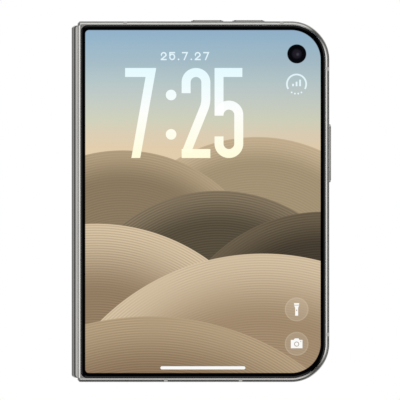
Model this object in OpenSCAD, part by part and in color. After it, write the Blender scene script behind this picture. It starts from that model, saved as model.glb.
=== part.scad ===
// Book-style folding phone, folded shut and standing upright on its bottom edge.
// Working frame: x from the back of the spine to the free edge, y from the cover display side (negative)
// to the camera side (positive) with the fold plane at 0, z up from the bottom edge.
// Each half is drawn face down: u = x, v = z and w = distance outwards from the fold plane.

/* [Body] */
// Height of the folded phone
body_h = 120.6; // [114:0.1:130]
// Width from the back of the spine to the free edge
body_w = 86.2; // [82:0.1:95]
// Thickness of the folded phone without its camera plateau
body_t = 9.4; // [9.3:0.1:10.4]
// Air gap between the folded halves
fold_gap = 0.2; // [0.1:0.02:0.3]
// Radius of the two corners at the free edge
corner_r = 12.8; // [10:0.1:15]
// Radius of the small corners beside the spine
hinge_corner_r = 0.95; // [0.4:0.05:1.2]
// Radius of the rounded metal edge around each outer face
edge_r = 1.1; // [0.5:0.05:1.2]
// Small chamfer of the metal edge around each inner face
inner_edge = 0.2; // [0.1:0.05:0.35]
// Width of the metal rim seen around each outer glass
rim = 1.3; // [1.2:0.05:1.8]
// Thickness of the frame's side walls
wall = 1.9; // [1.9:0.05:2.4]
// Thickness of the aluminium plate in the middle of each half
plate_t = 0.5; // [0.4:0.05:0.6]
// Radius of the edge around the metal strip beside the spine
strip_r = 0.3; // [0.15:0.05:0.4]

/* [Hinge] */
// Distance of each hinge axis from the fold plane
axis_off = 0.95; // [0.9:0.01:1]
// Thickness of the lips that close over the spine
lip_t = 0.8; // [0.7:0.05:0.85]
// Width of the metal strip of a lip beside the spine
lip_strip = 1.05; // [0.8:0.05:1.4]
// Running gap around the spine
spine_gap = 0.1; // [0.08:0.01:0.12]
// Thickness of the spine cover
cover_wall = 0.45; // [0.35:0.05:0.5]
// Distance of the spine's ends from the body's ends
spine_inset = 1.45; // [1.4:0.05:1.8]
// Radius of the spine's rounded ends
spine_end_r = 2; // [1:0.1:2.5]
// Thickness of the spine's end plates
end_plate_t = 0.5; // [0.4:0.05:0.7]
// Thickness of the synchronising gears
gear_t = 0.8; // [0.6:0.05:1]
// Thickness of the bearing plates behind the gears
bearing_t = 0.4; // [0.3:0.05:0.5]
// Gap between stacked hinge pieces
stack_gap = 0.05; // [0.04:0.01:0.08]
// Radius of the hinge axle pins
pin_r = 0.35; // [0.25:0.01:0.4]
// Running clearance of pins and arc tracks
run_gap = 0.05; // [0.03:0.01:0.06]
// Radial thickness of the arc rotors
rotor_wall = 0.75; // [0.6:0.05:0.75]
// Width of each arc rotor along the spine
rotor_w = 5; // [4:0.5:7]
// Distance of the outer hinge modules from the spine's ends
module_inset = 10; // [6:0.5:16]
// Thickness of the arms and feet of the rotors and gears
arm_t = 0.5; // [0.4:0.05:0.55]
// Radius of the hinge screws
screw_r = 0.5; // [0.4:0.05:0.6]

/* [Displays] */
// Thickness of the cover glass
glass_t = 0.5; // [0.4:0.05:0.5]
// Thickness of the cover display panel
panel_t = 0.2; // [0.15:0.01:0.22]
// Width of the black border between the metal rim and the lit area
border = 1.75; // [1.4:0.05:2.2]
// Distance of the cover display panel's straight edge from the spine's back
panel_left = 4.4; // [4.2:0.05:5.5]
// Thickness of the folding inner display
inner_t = 0.35; // [0.3:0.01:0.38]
// Width of the raised bezel around the inner display
bezel_w = 2.3; // [2.25:0.05:2.8]
// Middle radius of the fold of the inner display
fold_r = 0.8; // [0.75:0.01:0.85]
// Radius of the counter bends that lead into the fold
fold_lead_r = 2.2; // [2:0.05:2.4]
// Distance of the cover camera's centre from the free edge and from the top
camera_inset = 10.9; // [10.5:0.05:13]
// Radius of the cover camera's hole in the display
camera_hole_r = 3.09; // [2.6:0.01:3.6]

/* [Camera plateau] */
// Length of the plateau
plateau_len = 46; // [42:0.5:54]
// Height of the plateau
plateau_h = 18; // [17:0.5:22]
// Distance of the plateau's top from the body's top
plateau_top = 7.5; // [6:0.25:10]
// Distance of the plateau's end from the free edge
plateau_side = 7.5; // [6:0.25:10]
// Rise of the plateau above the back glass
plateau_t = 1.5; // [1:0.1:2]
// Rise of the lens rings above the plateau
ring_t = 0.7; // [0.4:0.05:1]
// Outer radius of a lens ring
ring_r = 7; // [6.4:0.1:7.4]
// Distance between the two lenses
lens_pitch = 17; // [16:0.25:20]
// Width of the flange that holds the plateau under the back glass
plateau_flange = 0.8; // [0.5:0.1:1.2]
// Radius of the flash
flash_r = 2.6; // [2:0.1:3]
// Distance of the flash from the second lens
flash_pitch = 12; // [10.5:0.25:13]
// Radius of the wide camera's opening behind its glass
wide_r = 3.6; // [2.5:0.1:4.5]
// Radius of the ultrawide camera's opening behind its glass
ultrawide_r = 3; // [2:0.1:4]

/* [Buttons] */
// Length of each volume button
volume_len = 11; // [9:0.5:12]
// Distance between the centres of the volume buttons
volume_pitch = 13.8; // [13:0.1:16]
// Distance of the point between the volume buttons from the free edge
volume_side = 33.95; // [30:0.25:38]
// Rise of the volume buttons above the top edge
volume_rise = 0.45; // [0.3:0.05:0.6]
// Length of the power button
power_len = 19.5; // [14:0.5:24]
// Height of the power button's centre
power_at = 76.5; // [70:0.5:84]
// Rise of the power button above the free edge
power_rise = 0.6; // [0.3:0.05:0.8]
// Width of all the buttons
button_w = 2.2; // [1.6:0.1:2.4]
// Travel of a button
button_travel = 0.3; // [0.2:0.05:0.35]
// Gap around a button in its slot
button_gap = 0.1; // [0.08:0.01:0.15]

/* [Ports and antenna bands] */
// Width of an antenna band
band_w = 0.6; // [0.4:0.05:1]
// Depth of an antenna band
band_t = 1; // [0.6:0.05:1.2]
// Distance of the top band nearest the spine from the spine's back
band_top = 17.9; // [14:0.1:22]
// Distance of the bands beside a round corner from the edge past that corner
band_corner = 15.9; // [15.6:0.1:18]
// Distance of the bottom band nearest the spine from the socket
band_near = 11.6; // [10.5:0.1:13]
// Distance of the other bottom band from the socket
band_far = 13.4; // [11:0.1:15]
// Width of the socket's opening
usb_w = 8.9; // [8.6:0.1:9.2]
// Height of the socket's opening
usb_h = 2.7; // [2.5:0.05:2.8]
// Radius of a sound hole
sound_r = 0.55; // [0.4:0.05:0.7]
// Distance between neighbouring sound holes
sound_pitch = 2.2; // [1.8:0.1:2.4]
// Distance of the first sound hole of each row from its antenna band
sound_from_band = 3; // [1.5:0.1:3.5]
// Distance of a bottom screw from the socket's middle
port_screw_at = 8; // [6.5:0.1:9]
// Length of the earpiece's slot in the top edge
earpiece_slot = 9; // [6:0.5:12]

/* [Inside] */
// Thickness of the circuit boards
board_t = 0.8; // [0.6:0.1:1]
// Length of the logic board along the body's height
board_len = 25; // [20:0.5:28]
// Outer radius of the charging coil
coil_r = 22; // [18:0.5:24]
// Width of the charging coil's winding
coil_w = 10; // [6:0.5:12]
// Length of a closing magnet
magnet_len = 10; // [6:0.5:12]
// Width of a closing magnet
magnet_w = 2.4; // [1.8:0.1:2.6]
// Side of a rear camera's square base
camera_base = 11.4; // [11:0.1:12]
// Side of the cover camera's square base
cover_camera_base = 8; // [7:0.25:9]

/* [Hidden] */

$fn = 64;
eps = 0.01;
far = 200;

// Colours
metal = [0.66, 0.66, 0.65];
bright = [0.78, 0.78, 0.76];
band_grey = [0.5, 0.5, 0.49];
black = [0.05, 0.05, 0.06];
screen = [0.55, 0.6, 0.62];
pale = [0.82, 0.83, 0.82];
brass = [0.75, 0.62, 0.4];
cell = [0.2, 0.21, 0.22];
board_green = [0.1, 0.28, 0.2];
lamp = [0.95, 0.93, 0.85];

// Clearances: between stacked pieces, of a glued face, of glass in its recess, of a screw in its hole
fit = 0.02;
glue = 0.01;
glass_fit = 0.05;
screw_fit = 0.08;

// Heights above the fold plane, from the inside out
face_w = body_t / 2;
inner_w = fold_gap / 2;
display_in = inner_w + fit;
backing_t = 0.1;
backing_in = display_in + inner_t + glue;
arm_in = backing_in + backing_t + fit;
arm_out = arm_in + arm_t;
plate_in = arm_in;
plate_out = plate_in + plate_t;
seat = plate_out + glass_fit;
ledge_t = 0.6;
ledge_out = seat + ledge_t;
glass_drop = 0.05;
glass_out = face_w - glass_drop;
glass_in = glass_out - glass_t;
panel_out = glass_in - glue;
panel_in = panel_out - panel_t;
pocket_top = glass_in - fit;
roof = face_w - lip_t;
lip_ledge_t = glass_in - roof - fit;

// The spine's section: two arcs about the hinge axes joined by a flat back
spine_r = roof - axis_off - spine_gap;
axis_x = spine_r;
lip_x = axis_x - axis_off + inner_w;
rolling_r = axis_off - inner_w;
bay_x = axis_x + spine_r + spine_gap;
spine_tuck = 0.35;
tuck_x = axis_x - spine_tuck;
end_gap = 0.15;
cheek = spine_inset - end_gap;
lip_low = cheek + 0.45;
glass_left = lip_x + lip_strip;
bay_wall = 1;
wall_x = bay_x + bay_wall;
foot_gap = 0.1;
foot_len = 3.1;
foot_x = bay_x + foot_gap;
foot_end = foot_x + foot_len;
foot_mid = (foot_x + foot_end) / 2;
ledge_x = foot_end + 0.4;

// Hinge stack at each end of the spine
gear_z = spine_inset + end_plate_t + stack_gap;
bearing_z = gear_z + gear_t + stack_gap;
fold_z = bearing_z + bearing_t + stack_gap;
gear_foot_h = 4;
gear_foot_z = gear_z + gear_foot_h / 2;
gear_teeth = 12;
mesh_teeth = 5;
gear_m = 2 * axis_off / gear_teeth;
gear_add = 0.82 * gear_m;
gear_ded = 1.01 * gear_m;
gear_backlash = 0.04;
tooth_half = PI * gear_m / 4 - gear_backlash;
tooth_sink = gear_m / 2;
flank = tan(20);
gear_clear = axis_x - axis_off - gear_add - 0.1;

// Hinge modules: the rear rotor runs in the lower slot of each and the front one in the upper slot
module_wall = 1.5;
module_len = 2 * rotor_w + 5 * module_wall;
module_edge = 0.55;
rear_slot = module_wall;
front_slot = module_len - module_wall - rotor_w;
rotor_out_r = spine_r - cover_wall - 0.15;
rotor_r = rotor_out_r - rotor_wall;
rotor_turn = [-5, 150];
rib_turn = [100, 148];
track_turn = [-20, 245];
rib_h = 0.6;
rib_margin = 0.25;
rib_in = rotor_r + rib_margin;
rib_out = rotor_out_r - rib_margin;
screw_len = 1.3;
head_t = 0.25;
head_rim = 0.3;

// Soft fold of the inner display: a bend about fold_x and two counter bends, with the length of the flat
// display that it becomes
fold_mid = display_in + inner_t / 2;
lead_turn = acos((fold_mid + fold_lead_r) / (fold_r + fold_lead_r));
fold_end = bay_x + 0.25;
flat_len = 2 * (fold_end - axis_x + axis_off);
bend_len = (180 + 2 * lead_turn) * PI / 180 * fold_r + 2 * lead_turn * PI / 180 * fold_lead_r;
lead_x = fold_end - (flat_len - bend_len) / 2;
fold_x = lead_x - (fold_r + fold_lead_r) * sin(lead_turn);
fold_room = 0.15;

// Cover display and inner display
window_z = rim + border;
panel_tuck = 0.3;
panel_edge = window_z - panel_tuck;
panel_left_r = 1.2;
shelf_gap = 0.1;
bezel_inset = band_t + glass_fit;
inner_win = bezel_inset + bezel_w;
bezel_fit = 0.03;

// Camera side
camera_u = body_w - camera_inset;
camera_v = body_h - camera_inset;
camera_gap = 0.15;
plateau_u = body_w - plateau_side - plateau_len / 2;
plateau_v = body_h - plateau_top - plateau_h / 2;
plateau_bevel = 0.4;
plateau_in = glass_in - 0.45;
plateau_out = glass_out + plateau_t;
ring_out = plateau_out + ring_t;
ring_foot = 0.5;
lens_u = body_w - plateau_side - plateau_h / 2;
lens_r = ring_r - 1.1;
lens_t = 0.4;
lens_drop = 0.14;
lens_in = ring_out - lens_drop - lens_t;
ring_ledge = 0.4;
flash_u = lens_u - lens_pitch - flash_pitch;

// Layout of the rooms inside each half
room_x = ledge_x + 0.3;
room_gap = 0.4;
room_end = body_w - wall - room_gap;
room_low = wall + room_gap;
room_high = body_h - wall - room_gap;
low_zone = 15;
top_zone = plateau_v - plateau_h / 2 - 1.5;
board_low = top_zone - board_len;
magnet_t = 1.6;
magnet_gap = 3;
magnet_pitch = 16;
magnet_edge = room_end - magnet_w - room_gap;
board_end = magnet_edge - room_gap;
cell_end = magnet_edge - 1.2;
shield_margin = 2.5;
shield_t = 1.4;
coil_in = glass_in - 0.45;

// Buttons, from the wall's outer face inwards
volume_u = body_w - volume_side;
flange_t = 0.6;
flange_side = 0.15;
button_mid = plate_out + glass_fit + button_w / 2 + flange_side;
button_bevel = 0.15;
flange_end = 0.7;
flange_drop = wall + 0.05;
switch_t = 0.5;
switch_w = 1.8;
switch_end = 1;
switch_drop = flange_drop + flange_t + button_travel + 0.1;

// Ports in the bottom edge
usb_u = body_w / 2;
usb_mid = plate_out + glass_fit + usb_h / 2;
usb_depth = 7;
usb_wall = 0.3;
usb_base = 0.6;
usb_tongue = [6.7, 0.7];
port_gap = 5;
port_screw_r = 0.8;
port_screw_len = 2.5;
port_screw_drop = 0.4;
speaker_holes = 6;
microphone_holes = 3;
inner_camera_r = 1.8;
inner_camera_u = 26;
inner_camera_v = body_h - 8;

// Half of the whole object's size, for the origin
box_x = (body_w + power_rise) / 2;
box_y = (ring_out - face_w) / 2;

// ---- Placing ----

// Moves the phone so that its origin is the middle of its base
module place() {
    translate([-box_x, -box_y, 0]) children();
}

// Stands a half up, from (u, v, w) to the cover display side
module front_half() {
    place() rotate([90, 0, 0]) children();
}

// Stands a half up, from (u, v, w) to the camera side
module rear_half() {
    place() mirror([0, 1, 0]) rotate([90, 0, 0]) children();
}

// Repeats what is at the bottom end at the top end, in the working frame
module both_ends() {
    children();
    translate([0, 0, body_h]) mirror([0, 0, 1]) children();
}

// The same for a half's (u, v, w)
module both_ends_v() {
    children();
    translate([0, body_h, 0]) mirror([0, 1, 0]) children();
}

// A plate between two heights w
module layer(w0, w1) {
    translate([0, 0, w0]) linear_extrude(w1 - w0) children();
}

// A box between two corners
module block(a, b) {
    translate(a) cube(b - a);
}

// ---- Outlines ----

// Points of an arc
function arc(c, r, a0, a1, n) =
    [for (i = [0:n]) c + r * [cos(a0 + (a1 - a0) * i / n), sin(a0 + (a1 - a0) * i / n)]];

// A rectangle from corner a to corner b with radius rl at its left and rr at its right corners
module rounded(a, b, rl, rr) {
    polygon(concat(
        arc([b[0] - rr, b[1] - rr], rr, 90, 0, 20),
        arc([b[0] - rr, a[1] + rr], rr, 0, -90, 20),
        arc([a[0] + rl, a[1] + rl], rl, -90, -180, 6),
        arc([a[0] + rl, b[1] - rl], rl, 180, 90, 6)
    ));
}

// The body's outline drawn in by d, from x = left
module outline(d, left, rl = 0.4) {
    rounded([left, d], [body_w - d, body_h - d], rl, corner_r - d);
}

// A stadium of length l and height h about its centre
module stadium(l, h) {
    square([l - h, h], center = true);
    for (s = [-1, 1]) translate([s * (l - h) / 2, 0]) circle(h / 2);
}

// Rounded square about its centre
module soft_square(w, h, r) {
    rounded([-w / 2, -h / 2], [w / 2, h / 2], r, r);
}

// ---- Frame ----

// Section of a half's edge, as [distance inwards, w]; the outer edge is round
function edge_section(depth) = concat(
    [[depth, inner_w], [inner_edge, inner_w], [0, inner_w + inner_edge]],
    arc([edge_r, face_w - edge_r], edge_r, 180, 90, 10),
    [[depth, face_w]]
);

// A half's full body, with its rounded edges and without any pocket
module half_blank() {
    far_u = body_w - corner_r;
    difference() {
        union() {
            translate([0, body_h - corner_r, 0]) rotate([90, 0, 0]) linear_extrude(body_h - 2 * corner_r)
                polygon(concat([for (p = edge_section(corner_r)) [body_w - p[0], p[1]]],
                    [[lip_x, face_w], [lip_x, inner_w]]));
            both_ends_v() translate([lip_x, 0, 0]) rotate([90, 0, 90]) linear_extrude(far_u - lip_x)
                polygon(edge_section(corner_r));
            both_ends_v() translate([far_u, corner_r, 0]) rotate([0, 0, -90]) rotate_extrude(angle = 90)
                polygon([for (p = edge_section(corner_r)) [corner_r - p[0], p[1]]]);
        }
        rolling_edge();
        both_ends_v() layer(0, far) difference() {
            translate([lip_x - eps, -eps]) square(hinge_corner_r + eps);
            translate([lip_x + hinge_corner_r, hinge_corner_r]) circle(hinge_corner_r);
        }
    }
}

// What is cut off the inner edge at the spine, so that the halves' ends roll past each other on their axes
module rolling_edge() {
    translate([0, body_h + 1, 0]) rotate([90, 0, 0]) linear_extrude(body_h + 2) difference() {
        translate([lip_x - 1, inner_w - 1]) square([rolling_r + 1, rolling_r + 1]);
        translate([axis_x, axis_off]) circle(rolling_r);
    }
}

// A half's frame, still without what differs between the halves
module half_frame(room_out) {
    difference() {
        half_blank();
        // bay for the spine
        block([lip_x - 1, cheek, -1], [bay_x, body_h - cheek, far]);
        // pocket of the inner display, its bezel and its backing plate
        layer(-1, plate_in) difference() {
            outline(bezel_inset - bezel_fit, lip_x);
            square([bay_x - eps, far]);
        }
        // seat of the hinge feet
        block([bay_x - 1, cheek, -1], [foot_end + foot_gap, body_h - cheek, arm_out]);
        // room for what the half holds
        layer(plate_out, ledge_out) outline(wall, ledge_x);
        layer(ledge_out - eps, room_out) outline(wall, wall_x);
        // recess of the outer glass
        layer(room_out - eps, far) outline(rim - glass_fit, glass_left - glass_fit);
        foot_screws(screw_fit);
    }
}

// Antenna bands of a half: bars let into the rails at the places at, each [side, distance]
module bands(grow, at) {
    for (b = at) {
        w = band_w + 2 * grow;
        if (b[0] == "top") translate([b[1] - w / 2, body_h - band_t - grow, 0]) cube([w, band_t + 1, far]);
        if (b[0] == "low") translate([b[1] - w / 2, -1, 0]) cube([w, band_t + 1 + grow, far]);
        if (b[0] == "side") translate([body_w - band_t - grow, b[1] - w / 2, 0]) cube([band_t + 1, w, far]);
    }
}

function band_places() = [
    ["top", band_top], ["top", body_w - band_corner], ["low", usb_u - band_near], ["low", usb_u + band_far],
    ["side", body_h - band_corner], ["side", band_corner],
];

module antenna_bands() {
    color(band_grey) intersection() {
        half_blank();
        bands(0, band_places());
    }
}

// Lip that closes over the spine: a strip beside it and a thin ledge that carries the glass
module hinge_lip(ledge_end) {
    strip_end = glass_left - glass_fit;
    ledge_top = roof + lip_ledge_t;
    color(bright) translate([0, body_h - lip_low, 0]) rotate([90, 0, 0]) linear_extrude(body_h - 2 * lip_low)
        polygon(concat(
            [[lip_x, roof]],
            arc([lip_x + strip_r, face_w - strip_r], strip_r, 180, 90, 5),
            [[strip_end, face_w], [strip_end, ledge_top], [ledge_end, ledge_top], [ledge_end, roof]]
        ));
}

// ---- Hinge ----

// The spine's outer section, drawn in by d
module spine_section(d) {
    r = spine_r - d;
    for (s = [-1, 1]) intersection() {
        translate([axis_x, s * axis_off]) circle(r);
        translate([axis_x - r, s > 0 ? axis_off : -axis_off - r]) square([r, r]);
    }
    translate([axis_x - r, -axis_off]) square([r, 2 * axis_off]);
}

// Prism along the spine whose ends are rounded as the spine's are
module spine_prism(z0, z1) {
    intersection() {
        translate([0, 0, z0]) linear_extrude(z1 - z0) children();
        translate([0, far / 2, 0]) rotate([90, 0, 0]) linear_extrude(far)
            rounded([0, spine_inset], [far / 2, body_h - spine_inset], spine_end_r, 0.1);
    }
}

// Sector of a ring about the origin, from angle a0 to a1
module ring_sector(r0, r1, a0, a1) {
    n = ceil((a1 - a0) / 45);
    difference() {
        intersection() {
            circle(r1);
            polygon(concat([[0, 0]], arc([0, 0], 2 * r1, a0, a1, n)));
        }
        if (r0 > 0) circle(r0);
    }
}

// Places a section on the rear axis
module on_rear_axis() {
    translate([axis_x, axis_off]) children();
}

// Mirrors rear hinge parts to the front
module front_copy() {
    mirror([0, 1, 0]) children();
}

// Points of a straight-sided tooth at angle a of a gear with pitch radius r, sunk into the gear's root
function tooth(a, r) = let (
    foot_half = tooth_half + flank * (gear_ded + tooth_sink),
    tip_half = tooth_half - flank * gear_add,
    foot_r = r - gear_ded - tooth_sink,
    tip_r = r + gear_add,
    foot_turn = foot_half / foot_r * 180 / PI,
    tip_turn = tip_half / tip_r * 180 / PI
) [
    foot_r * [cos(a - foot_turn), sin(a - foot_turn)], tip_r * [cos(a - tip_turn), sin(a - tip_turn)],
    tip_r * [cos(a + tip_turn), sin(a + tip_turn)], foot_r * [cos(a + foot_turn), sin(a + foot_turn)],
];

// Synchronising gear about the rear axis: teeth only where the gears meet, and an arm to the foot
module sync_gear(first) {
    pitch = 360 / gear_teeth;
    root = axis_off - gear_ded;
    difference() {
        union() {
            on_rear_axis() {
                circle(root);
                for (i = [0:mesh_teeth - 1]) polygon(tooth(first + i * pitch, axis_off));
            }
            translate([axis_x, arm_in]) square([foot_x + eps - axis_x, arm_t]);
        }
        on_rear_axis() circle(pin_r + run_gap);
    }
}

// Foot of a gear or rotor: a plate on the frame's ledge with a countersunk hole, from height z0 to z1
module foot(z0, z1) {
    difference() {
        translate([foot_x, arm_in, z0]) cube([foot_end - foot_x, arm_t, z1 - z0]);
        translate([foot_mid, 0, (z0 + z1) / 2]) rotate([-90, 0, 0]) {
            cylinder(r = screw_r + screw_fit, h = arm_out + 1);
            cylinder(r = screw_r + head_rim + screw_fit, h = arm_in + fit + head_t + glass_fit);
        }
    }
}

// Heights of the hinge modules' lower ends
function module_places() = [spine_inset + module_inset, (body_h - module_len) / 2,
    body_h - spine_inset - module_inset - module_len];

function screw_heights(slot) = concat([for (z = module_places()) z + slot + rotor_w / 2],
    [gear_foot_z, body_h - gear_foot_z]);

// Shanks of the screws in the feet at some heights, in (u, v, w), with room around them
module shanks(heights, room) {
    for (v = heights) translate([foot_mid, v, arm_in + fit])
        cylinder(r = screw_r + room, h = screw_len + room);
}

module foot_screws(room) {
    shanks(screw_heights(rear_slot), room);
    shanks(screw_heights(front_slot), room);
}

module hinge_screws(heights) {
    color(metal) {
        shanks(heights, 0);
        for (v = heights) translate([foot_mid, v, arm_in + fit]) cylinder(r = screw_r + head_rim, h = head_t);
    }
}

// Gears of one half at both ends, drawn for the rear half
module sync_gears(first) {
    color(brass) both_ends() {
        translate([0, 0, gear_z]) linear_extrude(gear_t) sync_gear(first);
        foot(gear_z, gear_z + gear_foot_h);
    }
}

// Rotors of one half, with ribs that run in the arc tracks, drawn for the rear half
module arc_rotors(slot) {
    arm_x = axis_x + rotor_out_r - rotor_wall / 2;
    for (z = module_places()) translate([0, 0, z + slot]) {
        linear_extrude(rotor_w) {
            on_rear_axis() ring_sector(rotor_r, rotor_out_r, rotor_turn[0], rotor_turn[1]);
            translate([arm_x, arm_in]) square([foot_x + eps - arm_x, arm_t]);
        }
        translate([0, 0, -rib_h]) linear_extrude(rotor_w + 2 * rib_h) on_rear_axis()
            ring_sector(rib_in, rib_out, rib_turn[0], rib_turn[1]);
        foot(0, rotor_w);
    }
}

// Slot and tracks that the rear rotors need in a base, from height 0 to rotor_w
module rotor_slot() {
    translate([0, 0, -stack_gap]) linear_extrude(rotor_w + 2 * stack_gap) on_rear_axis()
        ring_sector(rotor_r - run_gap, spine_r, track_turn[0], track_turn[1]);
    translate([0, 0, -rib_h - stack_gap]) linear_extrude(rotor_w + 2 * (rib_h + stack_gap)) on_rear_axis()
        ring_sector(rib_in - run_gap, rib_out + run_gap, rib_turn[0] - 5, track_turn[1]);
}

// ---- Front half ----

module front_frame() {
    color(metal) front_half() difference() {
        half_frame(pocket_top);
        // shelf for the display's straight edge over the hinge wall
        shelf_z = panel_edge - shelf_gap;
        block([bay_x - 1, shelf_z, panel_in - fit], [ledge_x, body_h - shelf_z, far]);
        bands(fit, band_places());
        translate([body_w / 2, body_h + 1, button_mid]) rotate([90, 0, 0]) linear_extrude(wall + 2)
            stadium(earpiece_slot, 1);
    }
}

module front_antenna_bands() {
    front_half() antenna_bands();
}

module front_hinge_lip() {
    front_half() hinge_lip(panel_left - shelf_gap);
}

module cover_glass() {
    color(black) front_half() layer(glass_in, glass_out) outline(rim, glass_left);
}

module cover_display() {
    color(screen) front_half() layer(panel_in, panel_out) difference() {
        rounded([panel_left, panel_edge], [body_w - panel_edge, body_h - panel_edge], panel_left_r,
            corner_r - panel_edge);
        translate([camera_u, camera_v]) circle(camera_hole_r);
    }
}

module cover_camera() {
    color(black) front_half() translate([camera_u, camera_v, 0]) {
        layer(seat, panel_in - glass_fit) soft_square(cover_camera_base, cover_camera_base, 1);
        layer(seat, pocket_top) circle(camera_hole_r - camera_gap);
    }
}

module earpiece() {
    color(black) front_half() layer(seat, panel_in - 0.2)
        translate([body_w / 2, room_high - 4]) soft_square(earpiece_slot + 7, 7, 1);
}

module front_battery() {
    color(cell) front_half() layer(seat, panel_in - 0.1)
        rounded([room_x, room_low + low_zone], [cell_end, camera_v - cover_camera_base / 2 - 4], 1.5, 1.5);
}

module sub_board() {
    color(board_green) front_half() layer(seat, seat + board_t)
        rounded([room_x, room_low], [body_w - corner_r - 2, room_low + low_zone - 2], 1, 1);
}

// Closing magnets along the free edge of a half, clear of the power button
module magnets() {
    clear = (power_len + magnet_len) / 2 + magnet_gap;
    color(bright) for (v = [power_at + clear, for (i = [0:2]) power_at - clear - i * magnet_pitch])
        translate([magnet_edge + magnet_w / 2, v]) layer(seat, seat + magnet_t)
            soft_square(magnet_w, magnet_len, 0.3);
}

module front_magnets() {
    front_half() magnets();
}

// Outline of the inner display on a half, grown by d at its three outer sides
module inner_window(d) {
    rounded([fold_end, inner_win - d], [body_w - inner_win + d, body_h - inner_win + d], 0.05,
        corner_r - inner_win + d);
}

// Raised bezel around the inner display
module inner_bezel() {
    color(black) layer(inner_w, backing_in - glue) difference() {
        outline(bezel_inset, foot_x);
        // end of the soft fold
        translate([bay_x, fold_z - fit]) square([fold_end + fit - bay_x, body_h - 2 * (fold_z - fit)]);
        inner_window(bezel_fit);
    }
}

module front_inner_bezel() {
    front_half() inner_bezel();
}

module inner_display_front() {
    color(screen) front_half() layer(display_in, display_in + inner_t) inner_window(0);
}

module backing_plate() {
    color(metal) layer(backing_in, backing_in + backing_t) outline(bezel_inset + glass_fit, fold_end);
}

module front_backing_plate() {
    front_half() backing_plate();
}

module front_sync_gears() {
    place() front_copy() sync_gears(180 - 180 / gear_teeth);
}

module front_arc_rotors() {
    color(bright) place() front_copy() arc_rotors(front_slot);
}

module front_hinge_screws() {
    front_half() hinge_screws(screw_heights(front_slot));
}

// ---- Rear half ----

// Slot for a button, along local z into the wall
module button_slot(len) {
    linear_extrude(wall + 4, center = true) stadium(len + 2 * button_gap, button_w + 2 * button_gap);
}

// Where the three buttons sit, in (u, v, w), with local z pointing out of the body
module at_top_edge(u) {
    translate([u, body_h, button_mid]) rotate([-90, 0, 0]) children();
}

module at_free_edge(v) {
    translate([body_w, v, button_mid]) rotate([0, 90, 0]) rotate([0, 0, 90]) children();
}

module rear_frame() {
    color(metal) rear_half() difference() {
        half_frame(pocket_top);
        bands(fit, band_places());
        for (s = [-1, 1]) at_top_edge(volume_u + s * volume_pitch / 2) button_slot(volume_len);
        at_free_edge(power_at) button_slot(power_len);
        translate([usb_u, wall + 1, usb_mid]) rotate([90, 0, 0]) linear_extrude(wall + 2)
            stadium(usb_w, usb_h);
        for (i = [0:speaker_holes - 1])
            port_hole(usb_u + band_far + sound_from_band + i * sound_pitch, sound_r);
        for (i = [0:microphone_holes - 1])
            port_hole(usb_u - band_near - sound_from_band - i * sound_pitch, sound_r);
        for (s = [-1, 1]) port_hole(usb_u + s * port_screw_at, port_screw_r + screw_fit);
    }
}

// Round hole through the bottom edge
module port_hole(u, r) {
    translate([u, wall + 1, usb_mid]) rotate([90, 0, 0]) cylinder(r = r, h = wall + 2, $fn = 24);
}

module rear_antenna_bands() {
    rear_half() antenna_bands();
}

module rear_hinge_lip() {
    rear_half() hinge_lip(bay_x);
}

module at_lenses() {
    for (i = [0, 1]) translate([lens_u - i * lens_pitch, plateau_v]) children();
}

module back_glass() {
    color(pale) rear_half() layer(glass_in, glass_out) difference() {
        outline(rim, glass_left);
        plateau_outline(glass_fit);
    }
}

// Outline of the plateau grown by d
module plateau_outline(d) {
    translate([plateau_u, plateau_v]) stadium(plateau_len + 2 * d, plateau_h + 2 * d);
}

// The plateau comes up through the back glass from a flange under it
module camera_plateau() {
    color(metal) rear_half() difference() {
        union() {
            layer(plateau_in, pocket_top) plateau_outline(plateau_flange);
            layer(plateau_in, plateau_out - plateau_bevel) plateau_outline(0);
            layer(plateau_in, plateau_out) plateau_outline(-plateau_bevel);
        }
        layer(0, far) at_lenses() circle(ring_r - ring_foot);
        layer(0, far) translate([flash_u, plateau_v]) circle(flash_r + glass_fit);
    }
}

module lens_rings() {
    color(bright) rear_half() at_lenses() difference() {
        union() {
            layer(plateau_out + glue, ring_out) circle(ring_r);
            layer(glass_out, ring_out) circle(ring_r - ring_foot - glass_fit);
        }
        layer(0, far) circle(lens_r - ring_ledge);
        layer(lens_in - glue, far) circle(lens_r + glass_fit);
    }
}

module lens_covers() {
    color(black) rear_half() layer(lens_in, lens_in + lens_t) at_lenses() circle(lens_r);
}

// A rear camera: a square base on the middle plate and a barrel up into its lens ring
module camera_module(i, barrel) {
    barrel_out = lens_in - glass_fit;
    color(black) rear_half() translate([lens_u - i * lens_pitch, plateau_v, 0]) difference() {
        union() {
            layer(seat, plateau_in - 0.1) soft_square(camera_base, camera_base, 1.2);
            layer(seat, barrel_out) circle(lens_r - ring_ledge - 0.1);
        }
        layer(barrel_out - 0.4, far) circle(barrel);
    }
}

module wide_camera() {
    camera_module(0, wide_r);
}

module ultrawide_camera() {
    camera_module(1, ultrawide_r);
}

module camera_flash() {
    color(lamp) rear_half() layer(plateau_in, plateau_out) translate([flash_u, plateau_v]) circle(flash_r);
}

module main_battery() {
    color(cell) rear_half() layer(seat, coil_in - glass_fit)
        rounded([room_x, room_low + low_zone], [cell_end, board_low - 1], 1.5, 1.5);
}

module logic_board() {
    color(board_green) rear_half() layer(seat, seat + board_t)
        rounded([room_x, board_low], [board_end, top_zone], 1, 1);
}

module board_shields() {
    shield_w = (board_end - room_x - 3 * shield_margin) / 2;
    under = seat + board_t + fit;
    color(bright) rear_half() layer(under, under + shield_t)
        for (i = [0, 1]) translate([room_x + shield_margin + shield_w / 2 + i * (shield_w + shield_margin),
                (board_low + top_zone) / 2])
            soft_square(shield_w, board_len - 2 * shield_margin, 1);
}

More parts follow.
